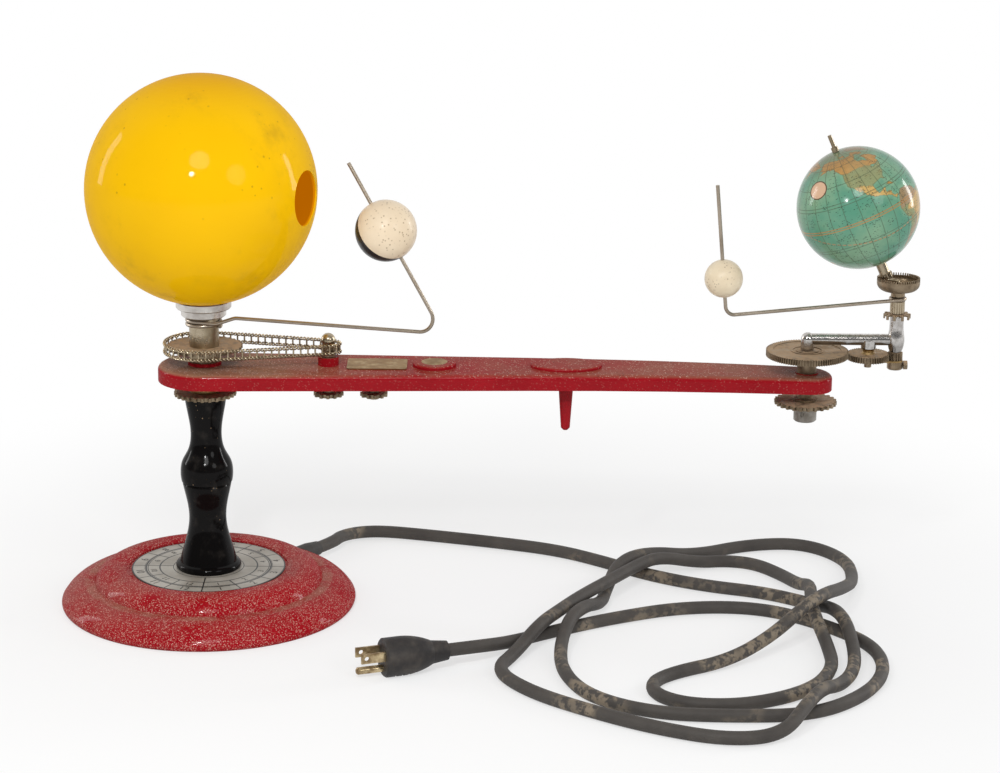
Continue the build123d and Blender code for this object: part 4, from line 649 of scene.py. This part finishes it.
TILT_DEGREES = 23.5
EARTH_TILT = math.radians(TILT_DEGREES)
EARTH_TURN = 29.0
EARTH_STEPS = 360
LAND = [
    ("orange", [
        (-168, 66), (-162, 70), (-150, 71), (-128, 70), (-110, 68), (-95, 69), (-82, 69), (-86, 65),
        (-94, 61), (-92, 57), (-82, 55), (-79, 51), (-77, 56), (-78, 62), (-65, 59), (-60, 54),
        (-58, 50), (-66, 49), (-67, 45), (-75, 45), (-83, 46), (-89, 48), (-95, 49), (-123, 49),
        (-129, 53), (-135, 58), (-147, 60), (-152, 58), (-163, 55), (-158, 59), (-165, 61), (-161, 64)
    ]),
    ("olive", [
        (-124, 49), (-95, 49), (-89, 48), (-83, 46), (-82, 42), (-76, 44), (-67, 45), (-70, 42),
        (-75, 38), (-76, 35), (-81, 31), (-80, 26), (-82, 28), (-84, 30), (-90, 29), (-97, 28),
        (-97, 26), (-103, 29), (-107, 31), (-117, 32), (-121, 35), (-124, 40)
    ]),
    ("sand", [
        (-117, 32), (-107, 31), (-103, 29), (-97, 26), (-97, 22), (-95, 18), (-91, 19), (-87, 21),
        (-88, 16), (-83, 15), (-83, 11), (-80, 9), (-77, 8), (-81, 7), (-86, 11), (-92, 14),
        (-101, 17), (-105, 20), (-109, 25), (-113, 31), (-110, 23), (-115, 29)
    ]),
    ("rose", [
        (-77, 8), (-72, 12), (-62, 10), (-52, 5), (-50, 0), (-59, -3), (-70, -5), (-81, -5), (-80, 0)
    ]),
    ("sand", [
        (-50, 0), (-35, -6), (-39, -15), (-41, -22), (-48, -26), (-53, -33), (-58, -22), (-63, -13),
        (-73, -9), (-70, -5), (-59, -3)
    ]),
    ("olive", [
        (-81, -5), (-70, -5), (-73, -9), (-63, -13), (-58, -22), (-62, -30), (-70, -30), (-70, -18),
        (-76, -14)
    ]),
    ("rose", [
        (-70, -30), (-62, -30), (-58, -22), (-53, -33), (-58, -38), (-65, -42), (-68, -50), (-69, -55),
        (-74, -51), (-73, -42)
    ]),
    ("orange", [(-85, 22), (-80, 23), (-74, 20), (-78, 20)]),
    ("rose", [
        (-73, 78), (-60, 82), (-30, 83), (-18, 79), (-22, 71), (-38, 65), (-44, 60), (-52, 65),
        (-55, 70)
    ]),
    ("orange", [(-82, 73), (-70, 70), (-62, 66), (-68, 62), (-78, 65), (-88, 70)]),
    ("orange", [(-125, 74), (-104, 73), (-103, 70), (-117, 71)]),
    ("orange", [
        (30, 70), (45, 67), (60, 69), (80, 73), (105, 77), (130, 72), (150, 71), (170, 70), (190, 66),
        (178, 62), (163, 60), (162, 57), (157, 51), (156, 58), (160, 61), (142, 59), (135, 54),
        (141, 52), (140, 48), (131, 43), (131, 48), (120, 53), (110, 50), (88, 50), (75, 54), (50, 51),
        (47, 45), (38, 47), (30, 52), (28, 60)
    ]),
    ("sand", [
        (131, 43), (122, 40), (118, 38), (122, 37), (120, 34), (122, 30), (119, 25), (110, 21),
        (100, 22), (97, 28), (88, 28), (78, 34), (74, 39), (80, 45), (88, 50), (110, 50), (120, 53),
        (131, 48)
    ]),
    ("rose", [(130, 31), (136, 34), (141, 36), (145, 43), (141, 45), (140, 41), (136, 36)]),
    ("olive", [
        (97, 28), (100, 22), (108, 22), (109, 13), (105, 9), (102, 12), (104, 2), (98, 8), (97, 16),
        (91, 22)
    ]),
    ("rose", [
        (97, 28), (91, 22), (87, 21), (80, 15), (80, 10), (77, 8), (73, 17), (67, 25), (61, 25),
        (61, 31), (74, 37), (78, 34), (88, 28)
    ]),
    ("sand", [
        (61, 25), (56, 27), (48, 30), (51, 24), (59, 22), (52, 16), (44, 13), (39, 21), (35, 28),
        (36, 36), (27, 37), (27, 41), (41, 41), (50, 37), (61, 36)
    ]),
    ("olive", [
        (28, 60), (21, 55), (12, 54), (8, 57), (5, 52), (-4, 48), (-1, 44), (-9, 43), (-9, 37),
        (-5, 36), (3, 42), (9, 44), (16, 38), (13, 45), (19, 42), (23, 37), (29, 41), (29, 46),
        (38, 47), (47, 45), (50, 51), (30, 52)
    ]),
    ("rose", [
        (30, 70), (25, 71), (15, 68), (5, 62), (7, 58), (13, 56), (18, 62), (24, 66), (28, 60),
        (35, 64)
    ]),
    ("rose", [(-5, 50), (1, 51), (0, 54), (-3, 58), (-6, 57), (-4, 54)]),
    ("sand", [
        (-6, 35), (10, 37), (20, 31), (33, 31), (37, 22), (30, 15), (10, 13), (-17, 15), (-16, 22),
        (-10, 30)
    ]),
    ("olive", [(-17, 15), (10, 13), (12, 5), (-8, 4), (-13, 9)]),
    ("rose", [
        (37, 22), (43, 12), (51, 12), (48, 5), (40, -3), (30, -5), (12, -5), (12, 5), (10, 13),
        (30, 15)
    ]),
    ("orange", [
        (40, -3), (40, -15), (35, -24), (32, -29), (27, -34), (18, -34), (15, -27), (12, -17),
        (12, -5), (30, -5)
    ]),
    ("rose", [(44, -16), (50, -15), (47, -25), (44, -24)]),
    ("rose", [
        (114, -22), (122, -18), (130, -12), (136, -12), (137, -16), (141, -17), (142, -11), (146, -19),
        (153, -27), (150, -37), (140, -38), (132, -32), (115, -34)
    ]),
    ("sand", [(131, -1), (141, -3), (150, -10), (141, -9)]),
    ("olive", [(109, 1), (117, 7), (118, 1), (114, -4)]),
    ("olive", [(95, 5), (105, -3), (105, -6), (98, 1)]),
    ("orange", [(173, -35), (178, -38), (174, -42), (167, -46), (171, -42)]),
    ("sand", [
        (-180, -78), (-120, -73), (-70, -72), (-58, -64), (-60, -75), (0, -70), (50, -67), (110, -66),
        (160, -70), (180, -78), (180, -91), (-180, -91)
    ]),
]
TINTS = {
    "orange": (0.50, 0.27, 0.085),
    "olive": (0.27, 0.30, 0.15),
    "sand": (0.56, 0.37, 0.13),
    "rose": (0.34, 0.25, 0.145),
}

globe_low, globe_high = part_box("earth_globe")
earth_middle = (np.array(globe_low) + np.array(globe_high)) / 2
EARTH_RADIUS = float(min(np.array(globe_high) - np.array(globe_low)) / 2)
axis_east = np.array([math.cos(EARTH_TILT), 0.0, math.sin(EARTH_TILT)])
axis_back = np.array([0.0, 1.0, 0.0])
axis_north = np.array([-math.sin(EARTH_TILT), 0.0, math.cos(EARTH_TILT)])


def globe_point(longitude, latitude):
    """Turns longitude and latitude into a point: a sphere about the tilted axis."""
    turned = np.radians(longitude + EARTH_TURN)
    north = np.radians(latitude)
    shares = (np.cos(north) * np.cos(turned), np.cos(north) * np.sin(turned), np.sin(north))
    axes = (axis_east, axis_back, axis_north)
    skin = sum(np.multiply.outer(share, axis) for share, axis in zip(shares, axes))
    return earth_middle + EARTH_RADIUS * skin


def coast_distance(longitude, latitude, outline):
    """Degrees from a shore, positive inside it: the least distance to its edges, signed by crossings."""
    shore = np.array(outline, dtype=float)
    middle = shore[:, 0].mean()
    east = (longitude - middle + 180.0) % 360.0 - 180.0
    shrink = np.cos(np.radians(latitude))
    inside = np.zeros(longitude.shape, dtype=bool)
    nearest = np.full(longitude.shape, 90.0)
    for (x0, y0), (x1, y1) in zip(shore, np.roll(shore, -1, axis=0)):
        x0, x1 = x0 - middle, x1 - middle
        crosses = (y0 > latitude) != (y1 > latitude)
        reach = x0 + (latitude - y0) * (x1 - x0) / (y1 - y0 if y1 != y0 else 1.0)
        inside ^= crosses & (east < reach)
        dx, dy = (x1 - x0) * shrink, y1 - y0
        px, py = (east - x0) * shrink, latitude - y0
        part = np.clip((px * dx + py * dy) / np.maximum(dx * dx + dy * dy, 1e-9), 0.0, 1.0)
        nearest = np.minimum(nearest, np.hypot(px - part * dx, py - part * dy))
    return np.where(inside, nearest, -nearest)


longitudes = np.arange(EARTH_STEPS) - 180.0
latitudes = np.linspace(-90.0, 90.0, EARTH_STEPS // 2 + 1)
grid_longitude, grid_latitude = np.meshgrid(longitudes, latitudes, indexing="ij")
globe = surface("earth_map", globe_point(grid_longitude, grid_latitude), closed=True)
flat_longitude, flat_latitude = grid_longitude.ravel(), grid_latitude.ravel()
# The outlines are coarse, so waves of two sizes make their shores wander.
slow_waves = np.sin(flat_longitude * 0.41 + flat_latitude * 0.23)
slow_waves = slow_waves * np.sin(flat_latitude * 0.53 - flat_longitude * 0.17)
quick_waves = np.sin(flat_longitude * 1.13 - 0.7 * flat_latitude)
quick_waves = quick_waves * np.sin(flat_latitude * 1.31 + 0.6 * flat_longitude)
shore_wander = 1.1 * slow_waves + 0.7 * quick_waves
wandered_longitude = flat_longitude + 0.6 * shore_wander
wandered_latitude = flat_latitude + 0.5 * shore_wander
coast = np.full(flat_longitude.shape, -90.0)
tint = np.tile(np.array([0.5, 0.4, 0.2]), (len(coast), 1))
for name, outline in LAND:
    distance = coast_distance(wandered_longitude, wandered_latitude, outline)
    nearer = distance > coast
    tint[nearer] = TINTS[name]
    coast = np.maximum(coast, distance)
globe.data.attributes.new("coast", "FLOAT", "POINT").data.foreach_set("value", coast)
tint_rgba = np.c_[tint, np.ones(len(tint))]
globe.data.attributes.new("tint", "FLOAT_COLOR", "POINT").data.foreach_set("color", tint_rgba.ravel())
bare_globe = bmesh.new()
bare_globe.from_mesh(globe.data)
bmesh.ops.remove_doubles(bare_globe, verts=bare_globe.verts, dist=1e-6)
bmesh.ops.recalc_face_normals(bare_globe, faces=bare_globe.faces)
bare_globe.to_mesh(globe.data)
bare_globe.free()

print_ink = Paint("earth_print", roughness=0.24, coat=0.15, coat_roughness=0.05, sheen=0.15)
from_earth = print_ink.vector_maths("SUBTRACT", print_ink.place, tuple(earth_middle))


def along(direction):
    """The share of a direction in the way from the globe's middle to its skin, from -1 to 1."""
    return print_ink.vector_maths("DOT_PRODUCT", from_earth, tuple(direction / EARTH_RADIUS))


def drawn(value, half_width):
    """A line where a value passes zero."""
    return value.maths("ABSOLUTE").step(half_width * 1.5, half_width * 0.5)


DEGREES = 180.0 / math.pi
GRID_LINE = 0.42
MERIDIAN_GAP = 15.0
PARALLELS = (-80, -60, -40, 40, 60, 80, -20.2, -23.2, 20.2, 23.2, -66.5, 66.5)
EQUATOR_RAIL = 1.1
north_share = along(axis_north)
latitude_degrees = north_share.maths("ARCSINE") * DEGREES
longitude_degrees = along(axis_back).maths("ARCTAN2", along(axis_east)) * DEGREES - EARTH_TURN
ring_share = (1.0 - north_share * north_share).maths("SQRT")


def parallel(latitude, half_width):
    """A line of one latitude."""
    return drawn(latitude_degrees - latitude, half_width)


meridian_off = ((longitude_degrees / MERIDIAN_GAP + 60.0).maths("FRACT") - 0.5).maths("ABSOLUTE")
grid_lines = drawn((0.5 - meridian_off) * MERIDIAN_GAP * ring_share, GRID_LINE) * (ring_share > 0.16)
for latitude in PARALLELS:
    grid_lines = grid_lines.maths("MAXIMUM", parallel(latitude, GRID_LINE))
equator = parallel(EQUATOR_RAIL, 0.45).maths("MAXIMUM", parallel(-EQUATOR_RAIL, 0.45))
sun_path = latitude_degrees + ((longitude_degrees + 190.0) / DEGREES).maths("SINE") * TILT_DEGREES
path_marks = ((longitude_degrees / 5.0 + 80.0).maths("FRACT") > 0.3) * drawn(sun_path, 0.5)
map_place = print_ink.node("ShaderNodeCombineXYZ", {}, longitude_degrees, latitude_degrees * 1.8, 0.0)
# Dots in patches stand for the words of the map.
word_areas = print_ink.noise(0.06, 1.0, map_place).step(0.44, 0.52)
words = print_ink.specks(0.36, 0.34, map_place) * word_areas
small_print_areas = print_ink.noise(0.12, 1.0, map_place).step(0.38, 0.5)
small_print = print_ink.specks(0.95, 0.36, map_place) * small_print_areas

coast_degrees = print_ink.node("ShaderNodeAttribute", {"attribute_name": "coast"}, output=2)
land_tint = print_ink.node("ShaderNodeAttribute", {"attribute_name": "tint"}, output=0)
land = coast_degrees.step(-0.25, 0.25)
fade = print_ink.noise(34.0, 4.0)
sea = print_ink.blend(fade.step(0.35, 0.68), (0.095, 0.275, 0.185), (0.20, 0.35, 0.225))
shallow = coast_degrees.step(-4.0, -0.5)
sea = print_ink.blend(shallow * 0.35, sea, (0.26, 0.44, 0.28))
ground = print_ink.blend(print_ink.noise(150.0, 3.0).step(0.45, 0.75) * 0.45, land_tint, (0.22, 0.13, 0.04))
ground = print_ink.blend(small_print * 0.6, ground, (0.10, 0.065, 0.035))
printed = print_ink.blend(land, sea, ground)
printed = print_ink.blend(drawn(coast_degrees, 0.35) * 0.45, printed, (0.12, 0.10, 0.05))
printed = print_ink.blend(grid_lines * 0.6, printed, (0.075, 0.10, 0.06))
printed = print_ink.blend(equator * 0.85, printed, (0.42, 0.20, 0.06))
printed = print_ink.blend(path_marks * 0.75, printed, (0.46, 0.20, 0.09))
printed = print_ink.blend(words * 0.75, printed, (0.03, 0.035, 0.03))

OVAL_PLACE = (-161.0, 41.0)
OVAL_REACH = (0.172, 0.155)
OVAL_RIM = (1.04, 0.98)
OVAL_FIELD = (0.92, 0.86)
oval_out = (globe_point(np.array(OVAL_PLACE[0]), np.array(OVAL_PLACE[1])) - earth_middle) / EARTH_RADIUS
oval_east = np.cross(axis_north, oval_out)
oval_east = oval_east / np.linalg.norm(oval_east)
oval_up = np.cross(oval_out, oval_east)
oval_x, oval_y = along(oval_east) / OVAL_REACH[0], along(oval_up) / OVAL_REACH[1]
oval = (oval_x * oval_x + oval_y * oval_y).maths("SQRT")
oval_half = along(oval_out) > 0.5
printed = print_ink.blend(oval_half * oval.step(*OVAL_RIM), printed, (0.10, 0.055, 0.035))
oval_paper = print_ink.blend(fade, (0.50, 0.30, 0.19), (0.66, 0.44, 0.29))
printed = print_ink.blend(oval_half * oval.step(*OVAL_FIELD), printed, oval_paper)

AGED = (0.20, 0.135, 0.06)
pole_grime = north_share.step(0.72, 1.0) * 0.55 + (0.0 - north_share).step(0.80, 1.0) * 0.5
rubbed = print_ink.noise(16.0, 4.0).step(0.52, 0.78) * 0.35
printed = print_ink.blend(pole_grime, printed, AGED)
printed = print_ink.blend(rubbed, printed, (0.30, 0.30, 0.17))
chips = print_ink.specks(260.0, 0.09) * print_ink.noise(60.0).step(0.52, 0.62)
print_ink.colour(print_ink.blend(chips * 0.7, printed, (0.10, 0.07, 0.04)))
print_ink.feed("Roughness", rubbed * 0.4 + 0.17)
print_ink.bump(print_ink.noise(75.0, 3.0), 0.00012)
dress(print_ink, globe)
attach(globe, "earth")
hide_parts("earth_globe")


# Room. A pale seamless floor, as white as the surround away from the object and a little darker
# beneath it.

FLOOR_SIDE = 6.0
FLOOR_Z = -0.0002
SHADED_MIDDLE = (0.19, -0.03)
SHADED_REACH = (0.22, 0.60)
SHADED_GLOW = 0.58
floor = surface("floor", np.array([
    [(-FLOOR_SIDE, -FLOOR_SIDE, FLOOR_Z), (-FLOOR_SIDE, FLOOR_SIDE, FLOOR_Z)],
    [(FLOOR_SIDE, -FLOOR_SIDE, FLOOR_Z), (FLOOR_SIDE, FLOOR_SIDE, FLOOR_Z)],
]))
floor_paint = Paint("floor_white", roughness=0.9)
floor_paint.colour((0.86, 0.86, 0.86))
tree = floor_paint.tree
floor_glow = tree.nodes.new("ShaderNodeEmission")
floor_path = tree.nodes.new("ShaderNodeLightPath")
direct = Term(floor_paint, floor_path.outputs["Is Camera Ray"])
for ray in ("Is Glossy Ray", "Is Transmission Ray"):
    direct = direct.maths("MAXIMUM", Term(floor_paint, floor_path.outputs[ray]))
off_x, off_y = floor_paint.axis(0) - SHADED_MIDDLE[0], floor_paint.axis(1) - SHADED_MIDDLE[1]
off_object = (off_x * off_x + off_y * off_y).maths("SQRT")
glow_share = direct * (off_object.step(*SHADED_REACH) * (1.0 - SHADED_GLOW) + SHADED_GLOW)
floor_mix = tree.nodes.new("ShaderNodeMixShader")
tree.links.new(glow_share.socket, floor_mix.inputs[0])
tree.links.new(floor_paint.shader.outputs[0], floor_mix.inputs[1])
tree.links.new(floor_glow.outputs[0], floor_mix.inputs[2])
tree.links.new(floor_mix.outputs[0], tree.nodes["Material Output"].inputs["Surface"])
dress(floor_paint, floor)

# Surround. White wherever it is seen directly. In reflections it is white behind the object and dim
# on the viewer's side, and as a light it is weaker than it looks.

FRONT_DIM = 0.16
FRONT_TO_BACK = (-0.30, 0.45)
SKY_LIGHT = 0.48
world = bpy.data.worlds.new("surround")
world.use_nodes = True
bpy.context.scene.world = world
sky = world.node_tree
background = sky.nodes["Background"]
background.inputs["Color"].default_value = (1.0, 1.0, 1.0, 1.0)
background.inputs["Strength"].default_value = SKY_LIGHT
plain = sky.nodes.new("ShaderNodeBackground")
plain.inputs["Color"].default_value = (1.0, 1.0, 1.0, 1.0)
path = sky.nodes.new("ShaderNodeLightPath")
mix = sky.nodes.new("ShaderNodeMixShader")
seen = path.outputs["Is Camera Ray"]
for ray in ("Is Glossy Ray", "Is Transmission Ray"):
    both = sky.nodes.new("ShaderNodeMath")
    both.operation = "ADD"
    both.use_clamp = True
    sky.links.new(seen, both.inputs[0])
    sky.links.new(path.outputs[ray], both.inputs[1])
    seen = both.outputs[0]
way = sky.nodes.new("ShaderNodeTexCoord")
split = sky.nodes.new("ShaderNodeSeparateXYZ")
sky.links.new(way.outputs["Generated"], split.inputs[0])
behind = sky.nodes.new("ShaderNodeMapRange")
behind.interpolation_type = "SMOOTHSTEP"
for socket, value in zip(behind.inputs[1:5], (*FRONT_TO_BACK, FRONT_DIM, 1.0)):
    socket.default_value = value
sky.links.new(split.outputs[1], behind.inputs[0])
straight = sky.nodes.new("ShaderNodeMath")
straight.operation = "MAXIMUM"
sky.links.new(path.outputs["Is Camera Ray"], straight.inputs[0])
sky.links.new(behind.outputs[0], straight.inputs[1])
sky.links.new(straight.outputs[0], plain.inputs["Strength"])
sky.links.new(seen, mix.inputs[0])
sky.links.new(background.outputs[0], mix.inputs[1])
sky.links.new(plain.outputs[0], mix.inputs[2])
sky.links.new(mix.outputs[0], sky.nodes["World Output"].inputs[0])


# Lights. A large soft key from above in front and a weaker fill from the right, two tall boxes that
# draw bright lines down both sides, and a small flash close in front.

def lamp(name, place, aim, width, tall, watts):
    """An area light at a place, turned to face the point it aims at."""
    light = bpy.data.lights.new(name, "AREA")
    light.shape = "ELLIPSE" if width == tall else "RECTANGLE"
    light.size = width
    light.size_y = tall
    light.energy = watts
    thing = bpy.data.objects.new(name, light)
    bpy.context.scene.collection.objects.link(thing)
    z = np.array(place) - np.array(aim)
    z = z / np.linalg.norm(z)
    x = np.cross(UP, z)
    x = x / np.linalg.norm(x)
    y = np.cross(z, x)
    thing.matrix_world = Matrix((
        (x[0], y[0], z[0], place[0]), (x[1], y[1], z[1], place[1]),
        (x[2], y[2], z[2], place[2]), (0.0, 0.0, 0.0, 1.0),
    ))


lamp("flash", (-0.05, -0.80, 0.68), (0.15, 0.0, 0.15), 0.07, 0.07, 2.6)
lamp("left_box", (-1.25, 0.45, 0.60), (0.1, 0.0, 0.22), 0.20, 0.75, 4.5)
lamp("right_box", (1.75, 0.55, 0.55), (0.2, 0.0, 0.22), 0.20, 0.75, 7.0)
lamp("key", (0.15, -1.9, 1.9), (0.15, 0.0, 0.15), 0.8, 0.8, 16.5)
lamp("fill", (1.5, -1.6, 1.2), (0.25, 0.0, 0.15), 0.8, 0.8, 7.0)
